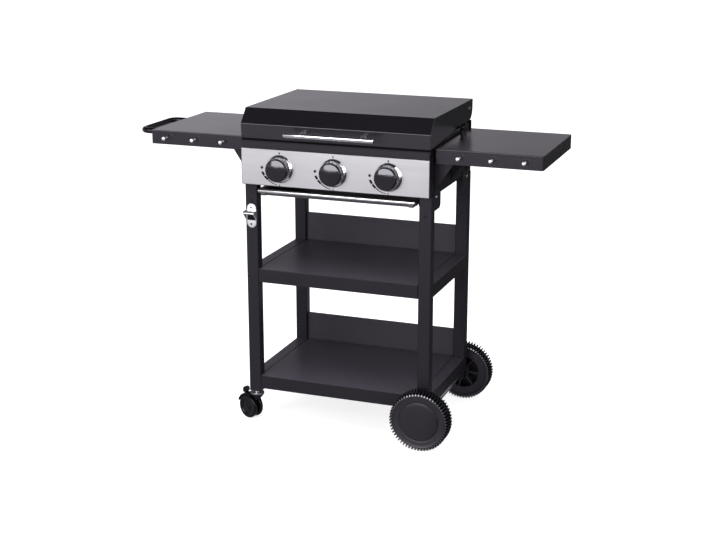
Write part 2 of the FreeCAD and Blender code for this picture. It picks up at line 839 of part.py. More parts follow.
def gusset(sx, y):
    """A bracket plate under a table: it stands on the head's side and reaches up behind the inner lip."""
    wall = sx * head_half_width
    inside_lip = sx * (table_inner + table_sheet)
    end = sx * (head_half_width + gusset_width)
    web = plate_xz([(wall, table_foot - gusset_drop), (wall, table_foot), (inside_lip, table_foot),
                    (inside_lip, table_under), (end, table_under), (end, table_foot)],
                   y, y + gusset_sheet)
    fold = box(min(wall, wall + sx * gusset_sheet), max(wall, wall + sx * gusset_sheet),
               y, y + gusset_flange, table_foot - gusset_drop, table_foot)
    shelf = box(min(inside_lip, end), max(inside_lip, end), y, y + gusset_flange,
                table_under - gusset_sheet, table_under)
    return web.fuse([fold, shelf]).removeSplitter()


def build_side_handle():
    """A round grip bent back at both ends to the left table's end lip."""
    z = table_top - grip_drop
    lip = -table_reach
    far = lip - grip_reach
    near = far + grip_bend
    centres = (Vector(near, grip_front + grip_bend, z), Vector(near, grip_back - grip_bend, z))
    starts = (Vector(near, grip_front, z), Vector(far, grip_back - grip_bend, z))
    facings = (Vector(1, 0, 0), Vector(0, 1, 0))
    handle = rod(grip_radius, Vector(lip, grip_front, z), starts[0])
    for centre, start, facing in zip(centres, starts, facings):
        section = Part.Face(Part.Wire(Part.makeCircle(grip_radius, start, facing)))
        handle = handle.fuse(section.revolve(centre, Vector(0, 0, -1), 90))
    handle = handle.fuse(rod(grip_radius, Vector(far, grip_front + grip_bend, z), starts[1]))
    handle = handle.fuse(rod(grip_radius, Vector(near, grip_back, z), Vector(lip, grip_back, z)))
    save("side_handle", handle.removeSplitter())


def build_grease_tray():
    """The pull-out grease tray with its front bar, and the runners between the legs that carry it."""
    floor = tray_top - tray_depth
    body_x = tray_half_width - tray_flange
    pan = box(-body_x, body_x, -tray_front, tray_back, floor, tray_top)
    rims = box(-tray_half_width, tray_half_width, -tray_front, tray_back, tray_top - tray_sheet, tray_top)
    hollow = box(-body_x + tray_sheet, body_x - tray_sheet, -tray_front + tray_sheet,
                 tray_back - tray_sheet, floor + tray_sheet, tray_top)
    pan = pan.fuse(rims).cut(hollow)
    bar = rod(tray_bar_radius, Vector(-tray_bar_half_length, -tray_bar_reach, tray_bar_height),
              Vector(tray_bar_half_length, -tray_bar_reach, tray_bar_height))
    save("tray_bar", bar.makeChamfer(bar_chamfer, round_edges(bar)))
    runners = []
    for sx in (-1, 1):
        middle = sx * (body_x - tray_bracket_width / 2)
        shape = [(-tray_front, floor), (-tray_front, tray_bar_height),
                 (-tray_bar_reach, tray_bar_height),
                 (-tray_bar_reach - tray_bracket_chin, floor + tray_bracket_chin),
                 (-tray_bar_reach, floor)]
        bracket = plate_yz(shape, middle - tray_bracket_width / 2, middle + tray_bracket_width / 2)
        pan = pan.fuse(bracket.cut(bar))
        rest = tray_top - tray_sheet - tray_gap
        wall = sx * inner_x
        inside = sx * (inner_x - runner_sheet)
        lip = sx * (body_x + tray_side_gap)
        web = box(min(wall, inside), max(wall, inside), -runner_reach, runner_reach,
                  rest - runner_height, rest)
        shelf = box(min(wall, lip), max(wall, lip), -runner_reach, runner_reach, rest - runner_sheet, rest)
        runners.append(web.fuse(shelf).removeSplitter())
    save("grease_tray", pan.removeSplitter())
    save("tray_runners", *runners)


def build_bottle_opener():
    """A cast bottle opener: an oval back plate and a hood whose lip catches the cap."""
    x = -leg_x
    face = -cart_half_depth
    r = opener_half_width
    upper = Vector(x, face, opener_top - r)
    lower = Vector(x, face, opener_foot + r)
    back = rod(r, upper, upper + Vector(0, -opener_plate, 0))
    back = back.fuse(rod(r, lower, lower + Vector(0, -opener_plate, 0)))
    waist = r * opener_waist
    back = back.fuse(box(x - waist, x + waist, face - opener_plate, face, lower.z, upper.z))
    wide = opener_half_width + opener_hood_lap
    front = face - opener_hood_reach
    shelf = face - opener_plate
    wall = opener_wall
    hood = plate_yz([(face, opener_hood_top), (shelf, opener_hood_top - opener_plate), (front, opener_brow),
                     (front, opener_brow - opener_wall), (front + opener_chin_setback, opener_chin),
                     (face - opener_foot_reach, opener_hood_foot), (face, opener_hood_foot)],
                    x - wide, x + wide)
    hollow = plate_yz([(shelf, opener_brow - wall), (front + wall, opener_brow - 2 * wall),
                       (front + wall + opener_chin_setback, opener_chin + wall),
                       (face - opener_foot_reach - wall, opener_hood_foot - past),
                       (shelf, opener_hood_foot - past)], x - wide + wall, x + wide - wall)
    middle = (opener_brow + opener_hood_foot) / 2 + opener_wall
    trim = rod(opener_trim_radius, Vector(x, face, middle), Vector(x, front - past, middle))
    opener = back.fuse(hood.cut(hollow).common(trim)).removeSplitter()
    save("bottle_opener", opener)


def build_leg_brackets():
    """Plates behind the front legs and before the rear legs that tie the head's sides to the legs."""
    brackets = []
    for sx in (-1, 1):
        for sy in (-1, 1):
            x0 = head_half_width
            near = inner_y - bracket_depth
            shape = [(inner_y + bracket_lap, head_base + bracket_lap), (near, head_base + bracket_lap),
                     (near, head_base - bracket_drop + bracket_corner),
                     (near + bracket_corner, head_base - bracket_drop),
                     (inner_y, head_base - bracket_drop), (inner_y, head_base),
                     (inner_y + bracket_lap, head_base)]
            plate = plate_yz([(sy * y, z) for y, z in shape], x0, x0 + bracket_sheet)
            brackets.append(plate if sx > 0 else plate.mirror(Vector(0, 0, 0), Vector(1, 0, 0)))
    save("leg_brackets", *brackets)


def tread_ring(y0, y1, phase):
    """One row of square tread blocks standing on the wheel's drum."""
    step = 2 * math.pi / tread_teeth
    low = wheel_radius - tread_depth
    points = []
    for index in range(tread_teeth):
        start = index * step + phase
        for radius, share in ((wheel_radius, 0.0), (wheel_radius, tread_duty),
                              (low, tread_duty + tread_slope), (low, 1 - tread_slope)):
            angle = start + step * share
            points.append(Vector(radius * math.cos(angle), y0, radius * math.sin(angle)))
    ring = outline(points).extrude(Vector(0, y1 - y0, 0))
    return ring.cut(rod(rim_inner_radius + rim_wall / 2, Vector(0, y0, 0), Vector(0, y1, 0)))


def wheel_body():
    """One moulded wheel about the Y axis, with its inner face at 0 and its outer face at minus its width."""
    out = Vector(0, -1, 0)
    centre = Vector(0, 0, 0)
    bore = axle_radius + wheel_bore_clearance
    low = wheel_radius - tread_depth
    seat = wheel_width - web_inset
    web_back = seat - web_thickness
    back_face = back_disc_inset + back_disc_thickness
    recess = hub_cap_radius + hub_cap_clearance
    ridge_end = ridge_radius + ridge_width
    body = turned([(bore, 0), (hub_radius, 0), (hub_radius, web_back), (rim_inner_radius, web_back),
                   (rim_inner_radius, back_face), (back_disc_opening, back_face),
                   (back_disc_opening, back_disc_inset), (rim_inner_radius, back_disc_inset),
                   (rim_inner_radius + back_disc_inset, 0), (low, 0), (low, wheel_width - ridge_height),
                   (ridge_end, wheel_width - ridge_height), (ridge_end, wheel_width),
                   (ridge_radius, wheel_width), (ridge_radius, wheel_width - ridge_height),
                   (recess, wheel_width - face_step), (recess, seat), (bore, seat)], centre, out)
    half = wheel_width / 2
    body = body.fuse(tread_ring(-wheel_width + ridge_height, -half, 0.0))
    body = body.fuse(tread_ring(-half, 0.0, math.pi / tread_teeth))
    for index in range(spoke_count):
        spoke = box(hub_radius - past, rim_inner_radius + past, -web_back - past, -hub_inset,
                    -spoke_thickness / 2, spoke_thickness / 2)
        spoke.rotate(centre, Vector(0, 1, 0), 360.0 * index / spoke_count + spoke_start)
        body = body.fuse(spoke)
    return body.removeSplitter()


def hub_cap():
    """A plain crowned cap that sits in the wheel's outer recess and covers the axle nut."""
    seat = wheel_width - web_inset
    rim = wheel_width - face_step + hub_cap_rim
    top = wheel_width + hub_cap_proud
    out = Vector(0, -1, 0)
    cap = turned([(0, seat), (hub_cap_radius, seat), (hub_cap_radius, rim - hub_cap_rim),
                  (hub_cap_radius - hub_cap_rim, rim), (hub_cap_flat, top - hub_cap_rim / 2), (0, top)],
                 Vector(0, 0, 0), out)
    room = seat + axle_nut_gap + axle_nut_height + axle_nut_gap
    return cap.cut(rod(axle_nut_radius + past, out * seat, out * room))


def leg_plug(x, y):
    """A plug for a leg's lower end: a flange under the tube and a block inside it."""
    half_x = tube_width / 2
    half_y = tube_depth / 2
    shrink = tube_wall + plug_clearance
    flange = box(x - half_x, x + half_x, y - half_y, y + half_y, leg_foot - plug_flange, leg_foot)
    flange = flange.makeFillet(tube_corner, edges_along(flange, Vector(0, 0, 1)))
    block = box(x - half_x + shrink, x + half_x - shrink, y - half_y + shrink, y + half_y - shrink,
                leg_foot, leg_foot + plug_depth)
    return flange.fuse(block)


def build_wheels():
    """The two large wheels, their caps, the axle and the blocks under the right legs."""
    shapes = {"wheel_": wheel_body(), "hub_cap_": hub_cap()}
    for end, sy in (("front", -1), ("rear", 1)):
        for name, shape in shapes.items():
            piece = shape.copy() if sy < 0 else shape.mirror(Vector(0, 0, 0), Vector(0, 1, 0))
            piece.translate(Vector(axle_place, sy * wheel_inner_face, wheel_radius))
            save(name + end, piece)
    nut_start = wheel_inner_face + wheel_width - web_inset + axle_nut_gap
    tip = nut_start + axle_nut_height
    axle = rod(axle_radius, axle_point(-tip), axle_point(tip))
    blocks = []
    for sy in (-1, 1):
        collar = rod(axle_collar_radius, axle_point(sy * (cart_half_depth + axle_collar_gap)),
                     axle_point(sy * (wheel_inner_face - axle_collar_gap)))
        nut = rod(axle_nut_radius, axle_point(sy * nut_start), axle_point(sy * tip))
        axle = axle.fuse([collar, nut])
        y0 = sy * leg_y - axle_block_depth / 2
        y1 = sy * leg_y + axle_block_depth / 2
        block = box(axle_place - axle_block_width / 2, axle_place + axle_block_width / 2, y0, y1,
                    axle_block_foot, leg_foot)
        corners = [edge for edge in edges_along(block, Vector(0, 1, 0)) if edge.CenterOfMass.z < wheel_radius]
        block = block.makeFillet(axle_block_corner, corners)
        block = block.fuse(leg_plug(leg_x, sy * leg_y))
        way = rod(axle_radius, axle_point(y0 - past), axle_point(y1 + past))
        blocks.append(block.cut(way).removeSplitter())
    save("axle", axle.removeSplitter())
    save("axle_blocks", *blocks)


def axle_point(y):
    return Vector(axle_place, y, wheel_radius)


def caster_fork():
    """The swivel plate, hub, centre rib and hood of a caster, about its own swivel axis."""
    axle = Vector(-caster_trail, 0, caster_radius)
    across = Vector(0, 1, 0)
    hood_inner = caster_radius + caster_hood_gap
    hood_outer = hood_inner + caster_hood_wall
    reach = 2 * hood_outer
    plate_foot = caster_disc_top - caster_disc_thickness
    half_web = caster_web / 2
    disc = rod(caster_disc_radius, Vector(0, 0, plate_foot), Vector(0, 0, caster_disc_top))
    disc = disc.makeChamfer(caster_disc_round, round_edges(disc))
    lap = plate_foot + past
    neck = rod(caster_neck_radius, Vector(0, 0, plate_foot - caster_hood_wall * 2), Vector(0, 0, lap))
    hub = rod(caster_hub_radius, Vector(0, 0, caster_stem_foot), Vector(0, 0, lap))
    arm = plate_xz([(caster_hub_radius, plate_foot), (caster_hub_radius, caster_stem_foot),
                    (-caster_trail + caster_boss_radius, caster_radius),
                    (-caster_trail, caster_radius + caster_boss_radius), (-caster_hub_radius, plate_foot)],
                   -half_web, half_web)
    boss = rod(caster_boss_radius, axle - across * half_web, axle + across * half_web)
    rear_rise = reach * math.tan(math.radians(caster_hood_rear_angle))
    front_run = reach / math.tan(math.radians(caster_hood_front_angle))
    cover = plate_xz([(0, 0), (-reach, rear_rise), (-reach, reach), (front_run, reach)],
                     -pair_width / 2, pair_width / 2)
    cover.translate(axle)
    hood = rod(hood_outer, axle - across * pair_width / 2, axle + across * pair_width / 2)
    hood = hood.cut(rod(hood_inner, axle - across * pair_width / 2, axle + across * pair_width / 2))
    hood = hood.common(cover)
    rib = rod(hood_outer, axle - across * half_web, axle + across * half_web).common(cover)
    wheel_room = rod(hood_inner, axle - across * pair_width, axle - across * half_web)
    wheel_room = wheel_room.fuse(rod(hood_inner, axle + across * half_web, axle + across * pair_width))
    pivot = brake_pivot()
    slots = [box(pivot.x - brake_slot, pivot.x + brake_slot, y0, y1,
                 pivot.z - brake_slot, pivot.z + brake_slot)
             for y0, y1 in ((-brake_slot, -half_web), (half_web, brake_slot))]
    brake_boss = rod(brake_boss_radius, pivot - across * half_web, pivot + across * half_web)
    fork = disc.fuse([neck, hub, arm, boss, hood, rib]).cut(wheel_room)
    fork = fork.cut(slots[0]).cut(slots[1]).fuse(brake_boss)
    fork = fork.cut(rod(caster_stem_radius + caster_stem_clearance, Vector(0, 0, caster_stem_foot - past),
                        Vector(0, 0, caster_disc_top + past)))
    side = across * pair_width
    fork = fork.cut(rod(caster_pin_radius + caster_pin_clearance, axle - side, axle + side))
    fork = fork.cut(rod(brake_pin_radius + brake_pin_clearance, pivot - side, pivot + side))
    return fork.removeSplitter()


def brake_pivot():
    """The brake pedal's hinge, in the hood's wall on the trailing side of the wheels."""
    radius = caster_radius + caster_hood_gap + caster_hood_wall / 2
    angle = math.radians(brake_angle)
    return Vector(-caster_trail - radius * math.cos(angle), 0, caster_radius + radius * math.sin(angle))


def caster_wheels():
    """Two wheels on one pin, about the caster's own swivel axis."""
    axle = Vector(-caster_trail, 0, caster_radius)
    across = Vector(0, 1, 0)
    pin_end = pair_width / 2 - caster_pin_inset
    pair = rod(caster_pin_radius, axle - across * pin_end, axle + across * pin_end)
    near = caster_web / 2 + caster_side_gap
    edge = caster_radius - caster_tread_round
    floor = caster_tread - caster_dish
    for side in (-1, 1):
        wheel = turned([(0, 0), (edge, 0), (caster_radius, caster_tread_round),
                        (caster_radius, caster_tread - caster_tread_round), (edge, caster_tread),
                        (caster_dish_radius, caster_tread), (caster_dish_radius - caster_dish, floor),
                        (0, floor)], axle + across * side * near, across * side)
        pair = pair.fuse(wheel)
    return pair.removeSplitter()


def caster_brake():
    """The brake pedal: two cheeks on a pin, a neck between them and a broad rounded pedal."""
    pivot = brake_pivot()
    across = Vector(0, 1, 0)
    inner = caster_web / 2 + brake_cheek_gap
    outer = inner + brake_cheek
    half = brake_pedal_thickness / 2
    pedal_foot = pivot.z + brake_pedal_start
    neck = box(pivot.x - half, pivot.x + half, -outer, outer, pivot.z, pedal_foot + brake_neck_lap)
    pedal = box(pivot.x - half, pivot.x + half, -brake_pedal_width / 2, brake_pedal_width / 2,
                pedal_foot, pivot.z + brake_pedal_reach)
    upper = [edge for edge in edges_along(pedal, Vector(1, 0, 0)) if edge.CenterOfMass.z > pedal_foot + past]
    pedal = pedal.makeFillet(brake_pedal_corner, upper)
    lever = neck.fuse(pedal)
    for side in (-1, 1):
        way = across * side
        lever = lever.fuse(rod(brake_cheek_radius, pivot + way * inner, pivot + way * outer))
    room = brake_boss_radius + brake_boss_clearance
    lever = lever.cut(rod(room, pivot - across * inner, pivot + across * inner))
    lever = lever.fuse(rod(brake_pin_radius, pivot - across * outer, pivot + across * outer))
    lever.rotate(pivot, across, -brake_pedal_lean)
    return lever.removeSplitter()


def build_casters():
    """Two twin-wheel swivel casters in the left legs, each with a plug, stem, fork, wheels and brake."""
    plugs = []
    stems = []
    shapes = {"caster_fork_": caster_fork(), "caster_wheels_": caster_wheels(),
              "caster_brake_": caster_brake()}
    for end, sy in (("front", -1), ("rear", 1)):
        swivel = Vector(-leg_x, sy * leg_y, 0)
        for name, shape in shapes.items():
            piece = shape.copy()
            piece.rotate(Vector(0, 0, 0), Vector(0, 0, 1), caster_turns[end])
            piece.translate(swivel)
            save(name + end, piece)
        tip = swivel + Vector(0, 0, leg_foot + plug_depth)
        collar_foot = swivel + Vector(0, 0, caster_disc_top + caster_collar_gap)
        stem = rod(caster_stem_radius, swivel + Vector(0, 0, caster_stem_foot), tip)
        collar = rod(caster_collar_radius, collar_foot, swivel + Vector(0, 0, leg_foot - plug_flange))
        stems.append(stem.fuse(collar).removeSplitter())
        plug = leg_plug(swivel.x, swivel.y)
        plugs.append(plug.cut(rod(caster_stem_radius, collar_foot, tip)).removeSplitter())
    save("caster_plugs", *plugs)
    save("caster_stems", *stems)


def build_screws():
    """Screw heads on the legs, brackets, opener, head sides and side handle."""
    heads = []
    front = Vector(0, -1, 0)
    for sx in (-1, 1):
        side = Vector(sx, 0, 0)
        heads.append(screw(Vector(sx * leg_x, -cart_half_depth, head_base - leg_screw_drop), front))
        bracket_face = sx * (head_half_width + bracket_sheet)
        for sy in (-1, 1):
            heads.append(screw(Vector(bracket_face, sy * (inner_y - bracket_screw_inset),
                                      head_base - bracket_screw_drop), side))
            heads.append(screw(Vector(sx * head_half_width, sy * (inner_y - side_bolt_inset),
                                      head_base + side_bolt_rise), side, side_bolt_radius, side_bolt_height))
    for z in (opener_top - opener_screw_margin, opener_foot + opener_screw_margin):
        heads.append(screw(Vector(-leg_x, -cart_half_depth - opener_plate, z), front,
                           opener_screw_radius, opener_screw_height))
    save("screws", *heads)


build_legs()
build_side_rails()
build_shelves()
build_head_shell()
build_control_panel()
build_knobs()
build_gas_train()
build_griddle_plate()
build_lid()
build_lid_pivots()
build_lid_handle()
build_tables()
build_side_handle()
build_grease_tray()
build_bottle_opener()
build_leg_brackets()
build_wheels()
build_casters()
build_screws()
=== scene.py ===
import json
import math

import bmesh
import bpy
from mathutils import Matrix, Vector


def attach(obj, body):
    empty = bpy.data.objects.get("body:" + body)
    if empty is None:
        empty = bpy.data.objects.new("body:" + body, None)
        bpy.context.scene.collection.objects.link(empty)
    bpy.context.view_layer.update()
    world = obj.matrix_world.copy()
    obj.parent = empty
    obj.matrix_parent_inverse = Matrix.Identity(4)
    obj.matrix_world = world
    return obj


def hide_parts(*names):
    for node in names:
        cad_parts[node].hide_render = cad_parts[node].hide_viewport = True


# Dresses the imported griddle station. The sizes below are millimetres in the cart's own axes, as a maker
# would measure it: X to the right, Y to the back, Z up, from the floor point midway between the legs.
# Places and powers in the room, round the station, are metres in the frame and watts.

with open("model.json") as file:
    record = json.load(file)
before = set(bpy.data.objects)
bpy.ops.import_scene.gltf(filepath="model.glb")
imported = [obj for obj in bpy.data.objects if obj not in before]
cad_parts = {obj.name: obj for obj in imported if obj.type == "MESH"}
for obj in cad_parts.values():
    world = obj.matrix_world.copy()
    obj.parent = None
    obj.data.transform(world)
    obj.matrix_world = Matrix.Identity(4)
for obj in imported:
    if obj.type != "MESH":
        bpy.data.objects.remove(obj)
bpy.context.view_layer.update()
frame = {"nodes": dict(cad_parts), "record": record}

MM = 0.001
CART_MIDDLE = Vector((31.3, 6.85, 0.0))

# Lengths under this many metres count as nothing.
NEAR = 0.00005

SIDES = (("left", -1), ("right", 1))
FORWARD = Vector((0, -1, 0))
UPWARD = Vector((0, 0, 1))


def at(x, y, z):
    """A point of the cart in the frame's metres."""
    return (Vector((x, y, z)) + CART_MIDDLE) * MM


# Camera

CAMERA_PLACE = (1.4415, -3.7996, 1.6106)
CAMERA_RIGHT = (0.93710, 0.34906, 0.0)
CAMERA_UP = (-0.09510, 0.25531, 0.96217)
CAMERA_BACK = (0.33586, -0.90165, 0.27245)
CAMERA_LENS = 68.48
CAMERA_SENSOR = 36.0


def set_camera():
    """Stands the camera where the photograph was taken from."""
    camera = bpy.data.objects.new("camera", bpy.data.cameras.new("camera"))
    bpy.context.scene.collection.objects.link(camera)
    turned = Matrix((CAMERA_RIGHT, CAMERA_UP, CAMERA_BACK)).transposed()
    camera.matrix_world = Matrix.Translation(CAMERA_PLACE) @ turned.to_4x4()
    camera.data.sensor_width = CAMERA_SENSOR
    camera.data.lens = CAMERA_LENS
    camera.data.clip_start = 0.05
    camera.data.clip_end = 60.0
    bpy.context.scene.camera = camera
    bpy.context.scene.view_settings.view_transform = "Standard"


# Finishes

class Signal:
    """One output in a net of nodes. Sums on it are written as Python sums."""

    def __init__(self, net, socket):
        self.net = net
        self.socket = socket

    def __add__(self, other):
        return self.net.combine("ADD", self, other)

    def __radd__(self, other):
        return self.net.combine("ADD", other, self)

    def __sub__(self, other):
        return self.net.combine("SUBTRACT", self, other)

    def __rsub__(self, other):
        return self.net.combine("SUBTRACT", other, self)

    def __mul__(self, other):
        return self.net.combine("MULTIPLY", self, other)

    def __rmul__(self, other):
        return self.net.combine("MULTIPLY", other, self)


class NodeNet:
    """The nodes of a material or of the world."""

    def __init__(self, tree):
        self.tree = tree

    def fill(self, socket, value):
        """Links a signal to a socket, or sets the socket's own value."""
        if isinstance(value, Signal):
            self.tree.links.new(value.socket, socket)
        else:
            socket.default_value = value

    def node(self, kind, settings=None, sockets=None, output=0):
        """Adds a node: its settings first, then the values or links of its sockets."""
        node = self.tree.nodes.new(kind)
        for key, value in (settings or {}).items():
            setattr(node, key, value)
        for key, value in (sockets or {}).items():
            self.fill(node.inputs[key], value)
        return Signal(self, node.outputs[output])

    def combine(self, operation, first, second):
        """One step of arithmetic."""
        return self.node("ShaderNodeMath", {"operation": operation}, {0: first, 1: second})

    def ray(self, kind):
        """1 for rays of one kind and 0 for the others."""
        return self.node("ShaderNodeLightPath", output=kind)

    def along(self, axis, direction):
        """One of the three numbers of a place or direction."""
        return self.node("ShaderNodeSeparateXYZ", sockets={0: direction}, output=axis)

    def coordinates(self, kind):
        return self.node("ShaderNodeTexCoord", output=kind)

    def place(self, stretch=(1.0, 1.0, 1.0)):
        """Object coordinates in metres, stretched along the axes."""
        spot = self.coordinates("Object")
        return self.node("ShaderNodeMapping", sockets={"Vector": spot, "Scale": stretch})

    def noise(self, scale, detail=2.0, stretch=(1.0, 1.0, 1.0), roughness=0.5):
        """Soft random cells: the scale is cells to the metre."""
        return self.node("ShaderNodeTexNoise", sockets={
            "Vector": self.place(stretch), "Scale": scale, "Detail": detail, "Roughness": roughness})

    def band(self, value, low, high, to_low=0.0, to_high=1.0):
        """Runs from one level to another as a value rises through a band."""
        return self.node("ShaderNodeMapRange", {"clamp": True}, {
            "Value": value, "From Min": low, "From Max": high, "To Min": to_low, "To Max": to_high})

    def mix(self, share, first, second):
        """Blends two colours by a share."""
        return self.node("ShaderNodeMix", {"data_type": "RGBA"}, {0: share, 6: first, 7: second}, output=2)

    def ramp(self, share, stops):
        """A colour that runs through its stops as a share rises."""
        node = self.tree.nodes.new("ShaderNodeValToRGB")
        elements = node.color_ramp.elements
        while len(elements) < len(stops):
            elements.new(1.0)
        for element, (position, colour) in zip(elements, stops):
            element.position = position
            element.color = colour
        self.fill(node.inputs["Fac"], share)
        return Signal(self, node.outputs[0])

    def relief(self, height, depth, strength):
        """A bump that is as deep as given where its strength is 1."""
        return self.node("ShaderNodeBump", sockets={
            "Height": height, "Distance": depth, "Strength": strength})


class Finish(NodeNet):
    """A material that is mixed from nodes."""

    def __init__(self, name):
        self.material = bpy.data.materials.new(name)
        self.material.use_nodes = True
        super().__init__(self.material.node_tree)
        self.shader = self.tree.nodes["Principled BSDF"]

    def surface(self, **sockets):
        """Sets the shader's own sockets; underscores stand for spaces."""
        for key, value in sockets.items():
            self.fill(self.shader.inputs[key.replace("_", " ")], value)
        return self.material


def rgb(red, green=None, blue=None):
    """A colour with full alpha; one number alone is a grey."""
    return (red, red if green is None else green, red if blue is None else blue, 1.0)


def toned(colour, level):
    """A colour made darker or lighter."""
    return rgb(*[min(1.0, part * level) for part in colour])


# Black paints and plastics reflect the studio a little violet.
BLACK_SHEEN = rgb(0.94, 0.89, 1.0)
STUDIO_TINT = (0.955, 0.925, 1.0)


def powder_coat(name, colour, roughness, grain=900.0, depth=0.00002, gloss=0.5, painted_sheen=None):
    """Baked powder paint: a faint orange peel, slow drifts of tone, and a painted sheen, patchy and lighter
    towards the front, on the faces that look up.
    """
    paint = Finish(name)
    speck = paint.noise(grain, 1.0)
    tone = paint.band(paint.noise(3.5) * 0.7 + speck * 0.3, 0.3, 0.7)
    coat = paint.mix(tone, toned(colour, 0.92), toned(colour, 1.08))
    # Painted sheen: a lighter colour on the up-facing faces, patchy and strongest towards the front, stands
    # in for the gloss that those faces catch.
    if painted_sheen:
        upward = paint.band(paint.along("Z", paint.coordinates("Normal")), 0.6, 0.95)
        patches = paint.band(paint.noise(5.0, 3.0), 0.2, 0.8, 0.85, 1.0)
        rearwards = paint.band(paint.along("Y", paint.place()), -0.2, 0.2, 1.0, 0.55)
        coat = paint.mix(upward * patches * rearwards, coat, rgb(*painted_sheen))
    wear = paint.band(paint.noise(6.0), 0.25, 0.75, roughness - 0.012, roughness + 0.012)
    return paint.surface(Base_Color=coat, Roughness=wear + speck * 0.02,
                         Specular_IOR_Level=gloss, Specular_Tint=BLACK_SHEEN,
                         Normal=paint.relief(speck, depth, 0.35))


def brushed(name, colour, roughness, stretch):
    """Brushed metal: long fine scratches along one axis, with broader soft bands between them."""
    metal = Finish(name)
    fine = metal.noise(420.0, 3.0, stretch, 0.6)
    streak = fine * 0.6 + metal.noise(60.0, 2.0, stretch) * 0.4
    grey = metal.mix(metal.band(streak, 0.36, 0.64), toned(colour, 0.97), toned(colour, 1.025))
    rub = metal.band(fine * 0.7 + metal.noise(5.0) * 0.3, 0.3, 0.7, roughness - 0.025, roughness + 0.03)
    return metal.surface(Base_Color=grey, Metallic=1.0, Roughness=rub,
                         Normal=metal.relief(fine, 0.000006, 0.3))


def plated(name, colour, roughness, rub=0.07):
    """Bright plate: nearly a mirror, dulled a little where it has been rubbed."""
    metal = Finish(name)
    haze = metal.band(metal.noise(45.0, 4.0), 0.4, 0.7, roughness, roughness + rub)
    tint = metal.mix(metal.band(metal.noise(12.0), 0.3, 0.7), toned(colour, 0.94), rgb(*colour))
    return metal.surface(Base_Color=tint, Metallic=1.0, Roughness=haze,
                         Normal=metal.relief(metal.noise(160.0, 1.0), 0.00001, 0.4))


def moulded(name, colour, roughness, grain=1400.0, depth=0.00004, gloss=0.4, tint=BLACK_SHEEN, wave=0.0):
    """Moulded plastic: a fine eroded grain, slow changes of sheen, and the waviness of a thick moulding."""
    plastic = Finish(name)
    pebble = plastic.noise(grain)
    flow = plastic.noise(9.0)
    tone = plastic.band(flow * 0.75 + pebble * 0.25, 0.35, 0.65)
    shade = plastic.mix(tone, toned(colour, 0.88), toned(colour, 1.12))
    sheen = plastic.band(flow, 0.3, 0.7, roughness - 0.04, roughness + 0.05)
    skin = pebble + plastic.noise(95.0) * wave if wave else pebble
    return plastic.surface(Base_Color=shade, Roughness=sheen, Specular_IOR_Level=gloss, Specular_Tint=tint,
                           Normal=plastic.relief(skin, depth, 0.5))


def cooking_iron(name):
    """The seasoned cooking plate: blue-black rolled steel with brown oil blooms and scraper marks."""
    iron = Finish(name)
    bloom = iron.noise(7.0, 5.0, roughness=0.62)
    scrape = iron.noise(240.0, 3.0, (0.12, 1.0, 1.0))
    pit = iron.noise(700.0)
    base = iron.mix(iron.band(bloom, 0.42, 0.68), rgb(0.028, 0.028, 0.031), rgb(0.062, 0.047, 0.038))
    rub = iron.band(bloom * 0.6 + scrape * 0.4, 0.35, 0.65, 0.3, 0.55)
    return iron.surface(Base_Color=base, Metallic=0.6, Roughness=rub,
                        Normal=iron.relief(pit * 0.5 + scrape * 0.5, 0.00008, 0.7))


def machined_brass(name):
    """Turned brass, a little tarnished."""
    brass = Finish(name)
    age = brass.noise(30.0, 4.0)
    base = brass.mix(brass.band(age, 0.4, 0.7), rgb(0.66, 0.47, 0.2), rgb(0.42, 0.27, 0.12))
    return brass.surface(Base_Color=base, Metallic=1.0, Roughness=brass.band(age, 0.3, 0.7, 0.22, 0.42),
                         Normal=brass.relief(brass.noise(900.0, 2.0, (0.3, 1.0, 0.3)), 0.00002, 0.5))


def heated_steel(name):
    """Burner tube: stainless that has gone straw and blue in patches from the heat."""
    steel = Finish(name)
    heat = steel.noise(16.0, 3.0, (1.0, 0.5, 1.0))
    base = steel.ramp(heat, ((0.30, rgb(0.46, 0.45, 0.43)), (0.50, rgb(0.40, 0.32, 0.20)),
                             (0.66, rgb(0.22, 0.18, 0.22))))
    return steel.surface(Base_Color=base, Metallic=1.0, Roughness=steel.band(heat, 0.3, 0.7, 0.28, 0.45),
                         Normal=steel.relief(steel.noise(500.0), 0.00002, 0.5))


